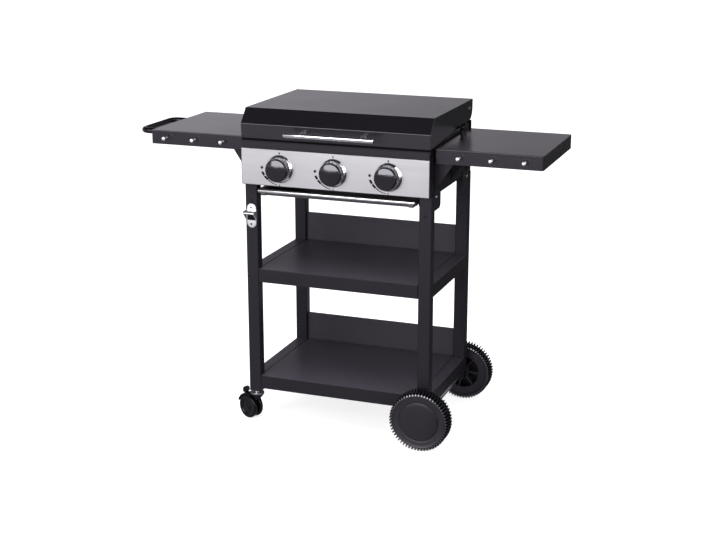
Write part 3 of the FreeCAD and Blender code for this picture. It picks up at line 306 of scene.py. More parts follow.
def mix_finishes():
    """One finish to each slot of the record, and more for the pieces that differ from their slot."""
    return {
        "frame_paint": powder_coat("frame_powder_coat", (0.0158, 0.0138, 0.0180), 0.38, gloss=0.19),
        # The back boards get a lighter copy of the frame's paint: painted light, for the light that they
        # catch.
        "lit_board_paint": powder_coat("board_coat_painted_lighter", (0.0375, 0.0330, 0.0425), 0.38, gloss=0.30),
        # The shelves and their rails carry a painted sheen on their tops, lighter towards the front.
        "shelf_paint": powder_coat("shelf_powder_coat", (0.0150, 0.0131, 0.0171), 0.38, gloss=0.19,
                                   painted_sheen=(0.0780, 0.0690, 0.0890)),
        "grip_paint": powder_coat("grip_powder_coat", (0.0030, 0.0026, 0.0034), 0.24, gloss=0.4),
        "head_paint": powder_coat("head_heat_paint", (0.0088, 0.0076, 0.0102), 0.36, 1200.0, gloss=0.29),
        "table_paint": powder_coat("table_powder_coat", (0.0105, 0.0091, 0.0121), 0.20, 1100.0, gloss=0.74),
        "lid_paint": powder_coat("lid_enamel", (0.0054, 0.0045, 0.0066), 0.22, 700.0, 0.00001, gloss=1.0),
        "tray_steel": powder_coat("tray_enamel", (0.020, 0.020, 0.021), 0.40, 800.0, 0.00003),
        "stainless": brushed("brushed_stainless", (0.668, 0.659, 0.674), 0.30, (0.012, 1.0, 1.0)),
        "chrome": plated("chrome_plate", (0.78, 0.78, 0.80), 0.05),
        "zinc": plated("zinc_plate", (0.56, 0.56, 0.58), 0.22),
        "knob_collar": plated("knob_collar_plate", (0.62, 0.62, 0.64), 0.22),
        "handle_steel": plated("handle_steel", (0.74, 0.73, 0.75), 0.18, 0.01),
        "post_steel": plated("post_steel", (0.26, 0.25, 0.27), 0.42),
        "hook_steel": plated("hook_steel", (0.93, 0.93, 0.94), 0.40),
        "cast_chrome": plated("cast_plate", (0.86, 0.86, 0.88), 0.36),
        # Near-black plate colour for the opener's mouth and tooth: painted shade under the hood.
        "recess_painted_shade": plated("recess_cast_plate", (0.016, 0.015, 0.017), 0.45),
        "race_steel": plated("race_steel", (0.20, 0.19, 0.21), 0.34),
        "brass": machined_brass("machined_brass"),
        "burner_steel": heated_steel("burner_steel"),
        "plate_iron": cooking_iron("seasoned_plate"),
        "knob_plastic": moulded("knob_gloss_plastic", (0.0042, 0.0036, 0.0050), 0.11, 600.0, 0.0000028, 0.74,
                                rgb(0.95, 0.91, 1.0), 150.0),
        "knob_edge": moulded("knob_edge_plastic", (0.0030, 0.0028, 0.0034), 0.5, 900.0, 0.00001, 0.15),
        "black_plastic": moulded("black_plastic", (0.0070, 0.0063, 0.0078), 0.42, gloss=0.25),
        "wheel_plastic": moulded("wheel_plastic", (0.0170, 0.0150, 0.0190), 0.40, 1000.0, 0.00003, 0.4),
        "tread_block": moulded("tread_block_plastic", (0.0060, 0.0052, 0.0070), 0.36, 1000.0, 0.00003, 0.25),
        # Near-black and nearly matte: painted shade in the grooves between the tread blocks, also used for
        # the shadow strip under the lid.
        "tread_bed_shade": moulded("tread_bed_plastic", (0.0013, 0.0011, 0.0015), 0.6, 1000.0, 0.00003, 0.04),
        # Light grey tips: a painted highlight of the rim edge catching the light; their gloss and roughness
        # are real.
        "wheel_ridge": moulded("wheel_ridge_plastic", (0.085, 0.080, 0.090), 0.20, 1000.0, 0.00001, 1.0),
        "cap_plastic": moulded("hub_cap_plastic", (0.0165, 0.0146, 0.0184), 0.36, 1600.0, 0.00002, 0.30),
        "caster_plastic": moulded("caster_plastic", (0.0034, 0.0030, 0.0040), 0.22, 1200.0, 0.00002, 0.24),
        "caster_tread": moulded("caster_tread", (0.0026, 0.0022, 0.0032), 0.24, 1200.0, 0.00002, 0.22),
        "pedal_plastic": moulded("pedal_plastic", (0.036, 0.033, 0.038), 0.36, 1200.0, 0.00002, 0.4),
        "ink": moulded("panel_ink", (0.004, 0.004, 0.0045), 0.6, 900.0, 0.00001, 0.1),
    }


# Modelling by hand

def rest_tools():
    """Back to object mode with nothing selected."""
    if bpy.context.mode != "OBJECT":
        bpy.ops.object.mode_set(mode="OBJECT")
    bpy.ops.object.select_all(action="DESELECT")


def hold_piece(piece):
    """Object mode with one piece selected and active."""
    rest_tools()
    piece.select_set(True)
    bpy.context.view_layer.objects.active = piece


def open_piece(piece):
    """Edit mode on one piece, with nothing in it selected."""
    hold_piece(piece)
    bpy.ops.object.mode_set(mode="EDIT")
    bpy.ops.mesh.select_all(action="DESELECT")


def settle():
    """Puts the held piece's place and scale into its mesh."""
    bpy.ops.object.transform_apply(location=True, rotation=True, scale=True)


def choose(kind, test):
    """Selects faces by middle and normal, or edges by their two ends, and says whether any passed."""
    bpy.ops.mesh.select_all(action="DESELECT")
    bpy.ops.mesh.select_mode(type=kind)
    piece = bpy.context.object
    mesh = bmesh.from_edit_mesh(piece.data)
    if kind == "FACE":
        chosen = [face for face in mesh.faces if test(face.calc_center_median(), face.normal)]
    else:
        chosen = [edge for edge in mesh.edges if test(edge.verts[0].co, edge.verts[1].co)]
    for item in chosen:
        item.select_set(True)
    mesh.select_flush_mode()
    bmesh.update_edit_mesh(piece.data)
    return bool(chosen)


def block(name, low, high):
    """A box between two corners."""
    rest_tools()
    bpy.ops.mesh.primitive_cube_add(size=1.0, location=(low + high) / 2, scale=high - low)
    piece = bpy.context.active_object
    piece.name = name
    settle()
    return piece


def trace(name, points):
    """A line drawn from point to point: one vertex is extruded along. The piece stays open."""
    rest_tools()
    bpy.ops.mesh.primitive_plane_add(size=MM, location=points[0])
    piece = bpy.context.active_object
    piece.name = name
    settle()
    bpy.ops.object.mode_set(mode="EDIT")
    bpy.ops.mesh.select_mode(type="VERT")
    bpy.ops.mesh.select_all(action="SELECT")
    bpy.ops.mesh.merge(type="CENTER")
    for start, end in zip(points, points[1:]):
        bpy.ops.mesh.extrude_vertices_move(TRANSFORM_OT_translate={"value": end - start})
    return piece


def prism(name, points, run):
    """A solid whose outline is drawn through points and pulled along a run. The piece stays open."""
    piece = trace(name, points)
    bpy.ops.mesh.select_all(action="SELECT")
    bpy.ops.mesh.edge_face_add()
    bpy.ops.mesh.select_all(action="SELECT")
    bpy.ops.mesh.extrude_region_move(TRANSFORM_OT_translate={"value": run})
    bpy.ops.mesh.select_all(action="SELECT")
    bpy.ops.mesh.normals_make_consistent(inside=False)
    return piece


def close_seams():
    """Joins the open mesh's doubled points, and turns its faces outwards."""
    bpy.ops.mesh.select_all(action="SELECT")
    bpy.ops.mesh.remove_doubles(threshold=0.000002)
    bpy.ops.mesh.normals_make_consistent(inside=False)


def turn(name, profile, centre, axis, steps=64, ring=False):
    """A turned piece, which stays open. The profile is (radius, distance along the axis); a ring's closes."""
    along = Vector(axis).normalized()
    across = UPWARD if abs(along.z) < 0.5 else Vector((1, 0, 0))
    points = [centre + (across * radius + along * height) * MM for radius, height in profile]
    if ring:
        points.append(points[0])
    piece = trace(name, points)
    bpy.ops.mesh.select_all(action="SELECT")
    bpy.ops.mesh.spin(steps=steps, angle=2 * math.pi, center=centre, axis=along)
    close_seams()
    return piece


def round_bar(name, radius, start, end):
    """A straight bar between two points, with turned-down ends."""
    length = (end - start).length / MM
    return turn(name, [
        (0, 0), (radius - 1.4, 0), (radius - 0.5, 0.4), (radius, 1.6), (radius, length - 1.6),
        (radius - 0.5, length - 0.4), (radius - 1.4, length), (0, length)], start, end - start, 48)


def apply_modifier(piece, kind, **settings):
    """Adds a modifier to a piece and applies it."""
    hold_piece(piece)
    modifier = piece.modifiers.new(kind.lower(), kind)
    for key, value in settings.items():
        setattr(modifier, key, value)
    bpy.ops.object.modifier_apply(modifier=modifier.name)


def soften(piece, width, segments=2):
    """Rounds every edge that is sharper than 35 degrees."""
    apply_modifier(piece, "BEVEL", width=width * MM, segments=segments, limit_method="ANGLE",
                   angle_limit=math.radians(35.0), use_clamp_overlap=True)


def thicken(piece, sheet):
    """Gives an open shell its sheet thickness, inwards."""
    apply_modifier(piece, "SOLIDIFY", thickness=sheet * MM, offset=-1.0, use_even_offset=True)


def cut_away(piece, tool):
    """Takes the tool's shape out of a piece, and the tool with it."""
    apply_modifier(piece, "BOOLEAN", object=tool, operation="DIFFERENCE", solver="EXACT")
    bpy.data.objects.remove(tool)


def bore(piece, place, axis, radius, depth):
    """A round hole through a piece, cut with a round bar."""
    rest_tools()
    bpy.ops.mesh.primitive_cylinder_add(vertices=64, radius=radius * MM, depth=depth * MM, location=place)
    bar = bpy.context.active_object
    bar.rotation_euler = Vector(axis).to_track_quat("Z", "Y").to_euler()
    settle()
    cut_away(piece, bar)


def joined(first, *others):
    """Joins pieces into the first one."""
    hold_piece(first)
    for piece in others:
        piece.select_set(True)
    bpy.ops.object.join()
    return first


def copy_piece(piece, name):
    """A copy with a mesh of its own."""
    rest_tools()
    twin = piece.copy()
    twin.data = piece.data.copy()
    twin.name = name
    bpy.context.scene.collection.objects.link(twin)
    return twin


def move_piece(piece, matrix):
    """Moves a piece, mesh and all, so that its object stays at the origin."""
    hold_piece(piece)
    piece.matrix_world = matrix
    settle()


def swing_piece(piece, place, degrees, axis):
    """Turns a piece about a place."""
    turned = Matrix.Rotation(math.radians(degrees), 4, axis)
    move_piece(piece, Matrix.Translation(place) @ turned @ Matrix.Translation(-place))


def mirrored(piece, name, y):
    """A copy mirrored from front to rear in the plane at a Y, with its faces still outwards."""
    twin = copy_piece(piece, name)
    move_piece(twin, Matrix.Translation((0, 2 * at(0, y, 0).y, 0)) @ Matrix.Diagonal((1, -1, 1, 1)))
    open_piece(twin)
    bpy.ops.mesh.select_all(action="SELECT")
    bpy.ops.mesh.flip_normals()
    rest_tools()
    return twin


def done(piece, body, slot, *nodes, finish=None, angle=38.0, sheet=False):
    """Ends a piece: smooth faces, its finish, its body, and the solids that it stands for."""
    hold_piece(piece)
    bpy.ops.object.shade_smooth_by_angle(angle=math.radians(angle))
    # On sheet metal the large faces keep their own direction, so that only the folds look round.
    if sheet:
        apply_modifier(piece, "WEIGHTED_NORMAL", mode="FACE_AREA", weight=100, keep_sharp=True)
    piece.data.materials.clear()
    piece.data.materials.append(FINISHES[finish or slot])
    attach(piece, body)
    if nodes:
        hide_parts(*nodes)


def once(node, index):
    """The solid's name for the first piece of a set that replaces it, and no name for the others."""
    return [node] if index == 0 else []


def dressed_copy(node, body, slot, width, finish=None):
    """A CAD solid's own shape as a clean mesh with softened edges, in place of the solid."""
    piece = copy_piece(frame["nodes"][node], "dressed_" + node)
    piece.parent = None
    piece.matrix_world = Matrix.Identity(4)
    open_piece(piece)
    bpy.ops.mesh.select_all(action="SELECT")
    bpy.ops.mesh.remove_doubles(threshold=0.00001)
    bpy.ops.mesh.dissolve_limited(angle_limit=math.radians(1.0))
    if width:
        soften(piece, width)
    done(piece, body, slot, node, finish=finish, sheet=True)


def upright(a, b):
    """Edges that stand upright."""
    return abs(a.x - b.x) < NEAR and abs(a.y - b.y) < NEAR


def depthwise(a, b):
    """Edges that run from front to rear."""
    return abs(a.x - b.x) < NEAR and abs(a.z - b.z) < NEAR


def above(level):
    """A test for edges that lie at or over a level."""
    return lambda a, b: a.z > level - NEAR and b.z > level - NEAR


def bend_edges(width, segments, test):
    """Rounds the edges of the open mesh that pass a test."""
    if choose("EDGE", test):
        bpy.ops.mesh.bevel(offset=width * MM, offset_type="OFFSET", segments=segments, affect="EDGES",
                           clamp_overlap=True)


def drop_faces(test):
    """Deletes the faces of the open mesh that pass a test, and closes the piece."""
    choose("FACE", test)
    bpy.ops.mesh.delete(type="FACE")
    rest_tools()


def folded_pan(name, low, high, corner, bend, sheet):
    """A folded sheet top, open below: rounded upright corners and a bend along every top edge."""
    piece = block(name, at(*low), at(*high))
    open_piece(piece)
    bend_edges(corner, 6, upright)
    bend_edges(bend, 3, above(at(*high).z))
    drop_faces(lambda middle, normal: normal.z < -0.9)
    thicken(piece, sheet)
    return piece


# Stage and light

# How bright the room is to rays that light the station, and how much whiter the camera sees the floor.
ROOM_LIGHT = 0.6
FLOOR_LIFT = 0.75

# What shiny faces see: the floor, a dark flag on the floor at the right, the ceiling, and how far the wall
# behind is dimmed, all but its left part.
FLOOR_SHEEN = 0.46
FLAG_LEVEL = 0.05
CEILING = 0.05
BACK_FADE = 0.40

# Where they fade in: the flag's left and front edges on the floor, and, as parts of a direction, the rise to
# the ceiling and the edges of the dimmed wall.
FLAG_EDGE_X = (0.30, 0.44)
FLAG_EDGE_Y = (-1.8, -1.0)
CEILING_RISE = (0.0, 0.48)
BACK_EDGE_X = (-0.44, -0.22)
BACK_EDGE_Y = (0.5, 0.8)


def set_stage():
    """A wide pale floor that keeps the station's shadow."""
    rest_tools()
    bpy.ops.mesh.primitive_plane_add(size=60.0, location=(0.0, 0.0, 0.0))
    floor = bpy.context.active_object
    floor.name = "studio_floor"
    paper = Finish("studio_paper")
    grain = paper.noise(40.0, 3.0)
    paper.surface(Base_Color=paper.mix(grain, rgb(0.88), rgb(0.92)), Specular_IOR_Level=0.0,
                  Roughness=paper.band(grain, 0.0, 1.0, 0.8, 1.0),
                  Emission_Color=paper.mix(paper.ray("Is Camera Ray"), rgb(0.0), rgb(1.0)),
                  Emission_Strength=FLOOR_LIFT)
    spot = paper.place()
    flag = paper.band(paper.along("X", spot), *FLAG_EDGE_X) * paper.band(paper.along("Y", spot), *FLAG_EDGE_Y)
    sheen = paper.node("ShaderNodeEmission", sockets={
        "Color": paper.mix(flag, toned(STUDIO_TINT, FLOOR_SHEEN), rgb(FLAG_LEVEL))})
    cover = paper.node("ShaderNodeMixShader", sockets={
        0: paper.ray("Is Glossy Ray"), 1: Signal(paper, paper.shader.outputs[0]), 2: sheen})
    paper.fill(paper.tree.nodes["Material Output"].inputs["Surface"], cover)
    floor.data.materials.append(paper.material)


def set_world():
    """White behind the station and in its reflections, and a plain even light from all round."""
    world = bpy.data.worlds.new("studio")
    bpy.context.scene.world = world
    world.use_nodes = True
    room = NodeNet(world.node_tree)
    camera_ray = room.ray("Is Camera Ray")
    spot = room.coordinates("Generated")
    ceiling = room.band(room.along("Z", spot), *CEILING_RISE, 1.0, CEILING)
    dimmed = (room.band(room.along("X", spot), *BACK_EDGE_X, 0.0, BACK_FADE)
              * room.band(room.along("Y", spot), *BACK_EDGE_Y))
    shown = room.combine("MAXIMUM", ceiling * (1.0 - dimmed), camera_ray)
    seen = room.combine("MAXIMUM", camera_ray, room.ray("Is Glossy Ray"))
    seen = room.combine("MAXIMUM", seen, room.ray("Is Transmission Ray"))
    sky = room.tree.nodes["Background"]
    room.fill(sky.inputs["Color"], room.mix(camera_ray, rgb(*STUDIO_TINT), rgb(1.0)))
    room.fill(sky.inputs["Strength"], room.band(seen, 0.0, 1.0, ROOM_LIGHT, shown))


def add_softbox(name, place, aim, size, power, lights=True, shines=True):
    """A large lamp that points at a place: one that lights, one that only shines in the gloss, or both."""
    lamp = bpy.data.objects.new(name, bpy.data.lights.new(name, "AREA"))
    bpy.context.scene.collection.objects.link(lamp)
    lamp.data.shape = "RECTANGLE"
    lamp.data.size, lamp.data.size_y = size
    lamp.data.energy = power
    lamp.location = place
    lamp.rotation_euler = (Vector(aim) - Vector(place)).to_track_quat("-Z", "Y").to_euler()
    lamp.visible_diffuse = lights
    lamp.visible_glossy = shines


def set_lights():
    """The room, soft lamps for the light, and large lamps that only show in the gloss."""
    set_world()
    add_softbox("top_softbox", (-0.6, -0.9, 3.6), (0.0, 0.0, 0.6), (2.4, 2.4), 46.0, shines=False)
    add_softbox("front_softbox", (-1.6, -3.8, 2.3), (0.0, 0.0, 0.6), (1.2, 1.2), 36.0, shines=False)
    add_softbox("low_softbox", (-0.6, -4.0, 0.7), (0.0, 0.0, 0.5), (1.5, 1.5), 30.0, shines=False)
    add_softbox("key_reflection", (-0.93, -4.1, 2.02), (0.0, -0.2, 0.8), (3.9, 2.1), 195.0, lights=False)
    add_softbox("right_softbox", (3.4, -1.8, 1.6), (0.2, 0.0, 0.6), (1.6, 1.6), 22.0)
    add_softbox("right_reflection", (3.35, -0.94, 2.93), (0.0, -0.2, 0.8), (3.0, 4.2), 60.0, lights=False)


# Cart

CART_HALF_WIDTH = 253.0
CART_HALF_DEPTH = 202.5
SHELF_FOLD = 42.0
SHELF_TOPS = (("middle", 494.0), ("lower", 152.0))
LEG_MIDDLE = 272.0


def build_cart():
    """The welded frame: shelves are folded afresh, and the other solids keep their own shape, eased."""
    for level, top in SHELF_TOPS:
        pan = folded_pan("folded_shelf_" + level, (-CART_HALF_WIDTH, -CART_HALF_DEPTH, top - SHELF_FOLD),
                         (CART_HALF_WIDTH, CART_HALF_DEPTH, top), 3.0, 2.0, 1.5)
        done(pan, "cart", "frame_paint", "shelf_" + level, finish="shelf_paint", sheet=True)
    for level, _ in SHELF_TOPS:
        for side, _ in SIDES:
            dressed_copy("side_rail_" + level + "_" + side, "cart", "frame_paint", 0.0, finish="shelf_paint")
    for end in ("front", "rear"):
        for side, _ in SIDES:
            dressed_copy("leg_" + end + "_" + side, "cart", "frame_paint", 0.0)
    # The back boards take the lighter copy of the frame paint, as painted light.
    dressed_copy("back_boards", "cart", "frame_paint", 0.5, finish="lit_board_paint")
    for node, slot, width in (
            ("leg_brackets", "frame_paint", 0.4), ("table_gussets", "frame_paint", 0.4),
            ("tray_runners", "frame_paint", 0.3), ("axle_blocks", "black_plastic", 0.7),
            ("caster_plugs", "black_plastic", 0.6), ("head_shell", "head_paint", 0.4),
            ("griddle_plate", "plate_iron", 0.8)):
        dressed_copy(node, "cart", slot, width)


# The dome of a screw head and its hexagon socket, as shares of the head's radius and height.
SCREW_DOME = ((0, 0), (1, 0), (1, 0.25), (0.9, 0.62), (0.66, 0.92), (0.5, 1), (0, 1))
SCREW_SOCKET = ((0, 0.45), (0.42, 0.45), (0.42, 1.5), (0, 1.5))


def build_screws():
    """Domed screw heads with a hexagon recess: on the opener, the front legs, the brackets and the head."""
    spots = [(at(-LEG_MIDDLE, -205.0, z), FORWARD, 2.8, 1.8, "black_plastic") for z in (683.0, 632.0)]
    for _, sx in SIDES:
        spots.append((at(sx * LEG_MIDDLE, -CART_HALF_DEPTH, 702.0), FORWARD, 5.0, 2.6, "frame_paint"))
        for sy in (-1, 1):
            spots.append((at(sx * 290.5, sy * 156.5, 749.0), (sx, 0, 0), 5.0, 2.6, "zinc"))
            spots.append((at(sx * 288.5, sy * 117.5, 807.0), (sx, 0, 0), 6.5, 4.0, "frame_paint"))
    for index, (place, out, radius, height, finish) in enumerate(spots):
        dome, hollow = ([(radius * r, height * h) for r, h in shape] for shape in (SCREW_DOME, SCREW_SOCKET))
        head = turn("screw_head_%02d" % index, dome, place, out, 36)
        socket = turn("socket", hollow, place, out, 6)
        cut_away(head, socket)
        done(head, "cart", "zinc", *once("screws", index), finish=finish, angle=30)


# Control panel

KNOBS = (("left", -168.0), ("centre", 0.0), ("right", 168.0))
KNOB_HEIGHT = 810.5
PANEL_HALF_WIDTH = 290.0
PANEL_FACE = -226.4
PANEL_BACK = -192.4
PANEL_FOOT = 759.5
PANEL_TOP = 866.5
PANEL_SHEET = 1.5

# How far the printed marks stand off the panel, and the steps that a curved mark is drawn in.
INK = 0.12
MARK_STEPS = 14


def build_panel():
    """The brushed front with its folded ends, holed for the stems, and dark plates over the ends."""
    low = at(-PANEL_HALF_WIDTH, PANEL_FACE, PANEL_FOOT)
    high = at(PANEL_HALF_WIDTH, PANEL_BACK, PANEL_TOP)
    panel = block("panel_sheet", low, high)
    open_piece(panel)
    bend_edges(2.0, 4, lambda a, b: upright(a, b) and a.y < low.y + NEAR)
    drop_faces(lambda middle, normal: normal.y > 0.9 or abs(normal.z) > 0.9)
    thicken(panel, PANEL_SHEET)
    for _, x in KNOBS:
        bore(panel, at(x, PANEL_FACE, KNOB_HEIGHT), FORWARD, 10.0, 12.0)
    soften(panel, 0.3, 1)
    done(panel, "cart", "stainless", "control_panel", sheet=True)
    for side, x in (("left", -PANEL_HALF_WIDTH - 0.7), ("right", PANEL_HALF_WIDTH + 0.1)):
        cheek = block("panel_end_" + side, at(x, PANEL_FACE + 1.8, PANEL_FOOT),
                      at(x + 0.6, PANEL_BACK, PANEL_TOP))
        done(cheek, "cart", "head_paint")


BEZEL = ((32.9, 0), (42.0, 0), (41.8, 0.7), (41.2, 1.4), (36.4, 8.2), (35.9, 8.5), (35.3, 8.3), (32.9, 5.6))
KNOB_COLLAR = ((0, 6.5), (30.6, 6.5), (31.3, 6.9), (31.5, 7.6), (31.5, 13.6), (32.2, 14.6), (32.9, 15.6),
               (33.1, 23.0), (0, 23.0))
KNOB_EDGE = ((33.0, 22.6), (33.7, 22.8), (34.1, 23.4), (34.2, 24.2), (34.1, 26.2), (33.7, 27.2), (33.0, 27.9),
             (32.2, 28.2), (31.8, 27.6), (31.8, 22.8))
KNOB_SKIRT = ((0, 22.9), (32.1, 22.9), (32.4, 27.4))

# The crown rises to 33.4 in the middle, and these are the radii that its curve is drawn through.
CROWN_HEIGHT = 33.4
CROWN_RADII = (32.0, 30.0, 27.0, 23.0, 19.0, 15.0, 11.0, 7.0, 3.5, 0.0)


def build_knobs():
    """Chrome bezels, and knobs with a bright collar, a dull black edge and a glossy crown."""
    crown = tuple((radius, CROWN_HEIGHT - radius * radius / 205.0) for radius in CROWN_RADII)
    for index, (side, x) in enumerate(KNOBS):
        face = at(x, PANEL_FACE, KNOB_HEIGHT)
        knob = "knob_" + side
        bezel = turn("bezel_" + side, BEZEL, face, FORWARD, 128, ring=True)
        done(bezel, "cart", "chrome", *once("knob_bezels", index), angle=30)
        collar = turn("knob_collar_" + side, KNOB_COLLAR, face, FORWARD, 128)
        done(collar, knob, "knob_plastic", finish="knob_collar", angle=50)
        edge = turn("knob_edge_" + side, KNOB_EDGE, face, FORWARD, 128, ring=True)
        done(edge, knob, "knob_plastic", finish="knob_edge", angle=60)
        cap = turn("knob_cap_" + side, KNOB_SKIRT + crown, face, FORWARD, 128)
        done(cap, knob, "knob_plastic", knob, angle=60)


def sweep_mark(name, centre, angles, radii, widths):
    """A printed stroke that turns round a knob and changes its radius and width on the way."""
    outer, inner = [], []
    for step in range(MARK_STEPS + 1):
        share = step / MARK_STEPS
        angle, radius, width = (first + (last - first) * share for first, last in (angles, radii, widths))
        way = Vector((math.cos(math.radians(angle)), 0.0, math.sin(math.radians(angle))))
        outer.append(centre + way * (radius + width / 2) * MM)
        inner.append(centre + way * (radius - width / 2) * MM)
    mark = prism(name, outer + inner[::-1], FORWARD * INK * MM)
    done(mark, "cart", "stainless", finish="ink")


def build_marks():
    """Plain printed marks round each knob: off, low, a light-up spark and a tapering heat stroke."""
    for side, x in KNOBS:
        face = at(x, PANEL_FACE, KNOB_HEIGHT)
        for name, rise, wide in (("off", 47.0, 3.6), ("low", -48.4, 2.6)):
            middle = face + UPWARD * rise * MM
            half = Vector((wide, 0.0, 5.4)) * MM / 2
            tick = block("mark_" + name + "_" + side, middle - half + FORWARD * INK * MM, middle + half)
            open_piece(tick)
            bend_edges(0.5, 3, depthwise)
            done(tick, "cart", "stainless", finish="ink")
        spark = face + Vector((-56.0, 0.0, 1.6)) * MM
        for index in range(4):
            ray = block("mark_spark_%s_%d" % (side, index), spark + Vector((-5.0, -INK, -0.9)) * MM,
                        spark + Vector((5.0, 0.0, 0.9)) * MM)
            swing_piece(ray, spark, 45 * index, "Y")
            done(ray, "cart", "stainless", finish="ink")
        sweep_mark("mark_heat_start_" + side, face, (191.0, 204.0), (56.0, 53.4), (7.2, 7.0))
        sweep_mark("mark_heat_" + side, face, (206.5, 222.0), (52.8, 50.2), (7.0, 6.2))
        sweep_mark("mark_heat_tail_" + side, face, (223.0, 262.0), (50.0, 47.8), (3.4, 1.5))


# Lid

LID_HALF_WIDTH = 291.0
LID_FOOT = (-220.5, 895.4)
LID_BEND = (-223.3, 938.3)
LID_CREST = (-187.0, 980.5)
LID_BACK = 204.0
LID_SHEET = 1.2
HINGE_Y = 169.0
HINGE_Z = 954.0
HINGE_CURVE = LID_BACK - HINGE_Y
HANDLE_HEIGHT = 919.0


def build_lid():
    """The folded lid: its side profile is pulled across, its folds are rounded and its sheet is thickened."""
    profile = [LID_FOOT, LID_BEND, LID_CREST, (LID_BACK, LID_CREST[1]), (LID_BACK, HINGE_Z)]
    for step in range(1, 9):
        angle = math.radians(90 * step / 8)
        profile.append((HINGE_Y + HINGE_CURVE * math.cos(angle), HINGE_Z - HINGE_CURVE * math.sin(angle)))
    profile.append((60.0, HINGE_Z - HINGE_CURVE))
    lid = prism("lid_sheet", [at(-LID_HALF_WIDTH, y, z) for y, z in profile],
                Vector((2 * LID_HALF_WIDTH * MM, 0, 0)))
    rear = at(0, LID_BACK, 0).y
    fold = at(0, 0, LID_BEND[1] - 1.3).z
    front = at(0, LID_FOOT[0] + 1.5, 0).y

    def folds(a, b):
        """The front corners, and above the front bend every edge but the upright ones at the rear."""
        across = abs(a.x - b.x) > NEAR
        side = not across and min(a.y, b.y) < rear - NEAR
        high = a.z > fold and b.z > fold
        return (high and (side or across)) or (side and a.y < front and b.y < front)

    bend_edges(0.6, 3, folds)
    inside, underside = at(0, LID_FOOT[0] + 0.6, 0).y, at(0, 0, HINGE_Z - 0.1).z
    drop_faces(lambda middle, normal: abs(normal.x) < 0.5 and normal.z < 0.3
               and middle.z < underside and middle.y > inside)
    thicken(lid, LID_SHEET)
    for _, sx in SIDES:
        bore(lid, at(sx * LID_HALF_WIDTH, HINGE_Y, HINGE_Z), (1, 0, 0), 4.0, 8.0)
    done(lid, "lid", "lid_paint", "lid_shell", angle=50, sheet=True)


HANDLE_POST = ((0, 0.2), (9.0, 0.2), (9.0, 2.2), (8.6, 3.4), (7.2, 5.2), (6.4, 8.5), (5.7, 16.0), (5.2, 26.0),
               (5.0, 37.0), (0, 37.0))
PIVOT_BOLT = ((0, 0), (8.0, 0), (8.0, 0.9), (7.4, 1.9), (5.8, 2.7), (3.4, 3.0), (0, 3.0))
LID_REST = ((0, 0), (6.4, 0), (6.4, 1.6), (5.2, 2.6), (4.9, 12.0), (5.4, 14.6), (7.6, 16.2), (8.8, 17.6),
            (9.0, 19.4), (8.8, 21.4), (7.8, 23.0), (5.4, 23.9), (0, 24.1))


def build_lid_fittings():
    """A strip under the lid's foot, a black strip there as painted shadow of the gap, the handle on its
    posts, the pivot bolts, and the rests.
    """
    trim = block("head_trim", at(-LID_HALF_WIDTH, -222.0, 886.8), at(LID_HALF_WIDTH, -219.4, 889.7))
    done(trim, "cart", "head_paint")
    # A black strip hung from the lid's foot, where there is only the shadow of the gap: painted shadow.
    shadow_strip = block("lid_foot_shadow_strip", at(-289.5, -222.7, 889.8), at(289.5, -219.4, 895.7))
    done(shadow_strip, "lid", "black_plastic", finish="tread_bed_shade")
    bar = round_bar("handle_bar", 7.3, at(-137.5, -263.2, HANDLE_HEIGHT), at(137.5, -263.2, HANDLE_HEIGHT))
    done(bar, "lid", "stainless", "lid_handle_bar", finish="handle_steel", angle=50)
    for index, (side, sx) in enumerate(SIDES):
        post = turn("handle_post_" + side, HANDLE_POST, at(sx * 92.5, -221.9, HANDLE_HEIGHT), FORWARD, 48)
        done(post, "lid", "chrome", *once("lid_handle_posts", index), finish="post_steel", angle=45)
        hinge = at(sx * LID_HALF_WIDTH, HINGE_Y, HINGE_Z)
        bolt = turn("pivot_bolt_" + side, PIVOT_BOLT, hinge, (sx, 0, 0), 48)
        done(bolt, "lid", "zinc", finish="black_plastic", angle=45)
        rest = turn("lid_rest_" + side, LID_REST, at(sx * 298, 69, TABLE_TOP), UPWARD, 48)
        done(rest, "cart", "black_plastic", *once("lid_bumpers", index), angle=45)


# Side tables

TABLE_INNER = 293.0
TABLE_OUTER = 606.0
TABLE_FRONT = -190.0
TABLE_BACK = 177.0
TABLE_FOOT = 852.5
TABLE_TOP = 894.5
PEG_OUTER = 555.0
PEG_PITCH = 94.5
PEG_HEIGHT = 873.5
PEG = ((0, 0), (2.6, 0), (2.6, 0.5), (2.0, 0.9), (2.0, 14.4), (3.2, 14.9), (5.0, 16.2), (6.1, 18.0),
       (6.3, 19.8), (5.8, 21.5), (4.4, 22.9), (2.3, 23.6), (0, 23.8))


def build_tables():
    """Folded tops, the row of bright pegs on each front lip, and the bent grip on the left."""
    for side, sx in SIDES:
        near, far = sorted((sx * TABLE_INNER, sx * TABLE_OUTER))
        pan = folded_pan("folded_table_" + side, (near, TABLE_FRONT, TABLE_FOOT),
                         (far, TABLE_BACK, TABLE_TOP), 5.0, 1.8, 1.2)
        done(pan, "cart", "table_paint", "side_table_" + side, sheet=True)
    pegs = [(side, sx, index) for side, sx in SIDES for index in range(3)]
    for count, (side, sx, index) in enumerate(pegs):
        place = at(sx * (PEG_OUTER - PEG_PITCH * index), TABLE_FRONT, PEG_HEIGHT)
        peg = turn("peg_%s_%d" % (side, index), PEG, place, FORWARD, 32)
        done(peg, "cart", "chrome", *once("table_hooks", count), finish="hook_steel", angle=45)
    done(bent_grip(), "cart", "frame_paint", "side_handle", finish="grip_paint", angle=50)


GRIP_RADIUS = 9.3
GRIP_HEIGHT = 884.3
GRIP_FRONT = -152.0
GRIP_STEM = 28.6
GRIP_BEND = 24.0
GRIP_RUN = 152.0


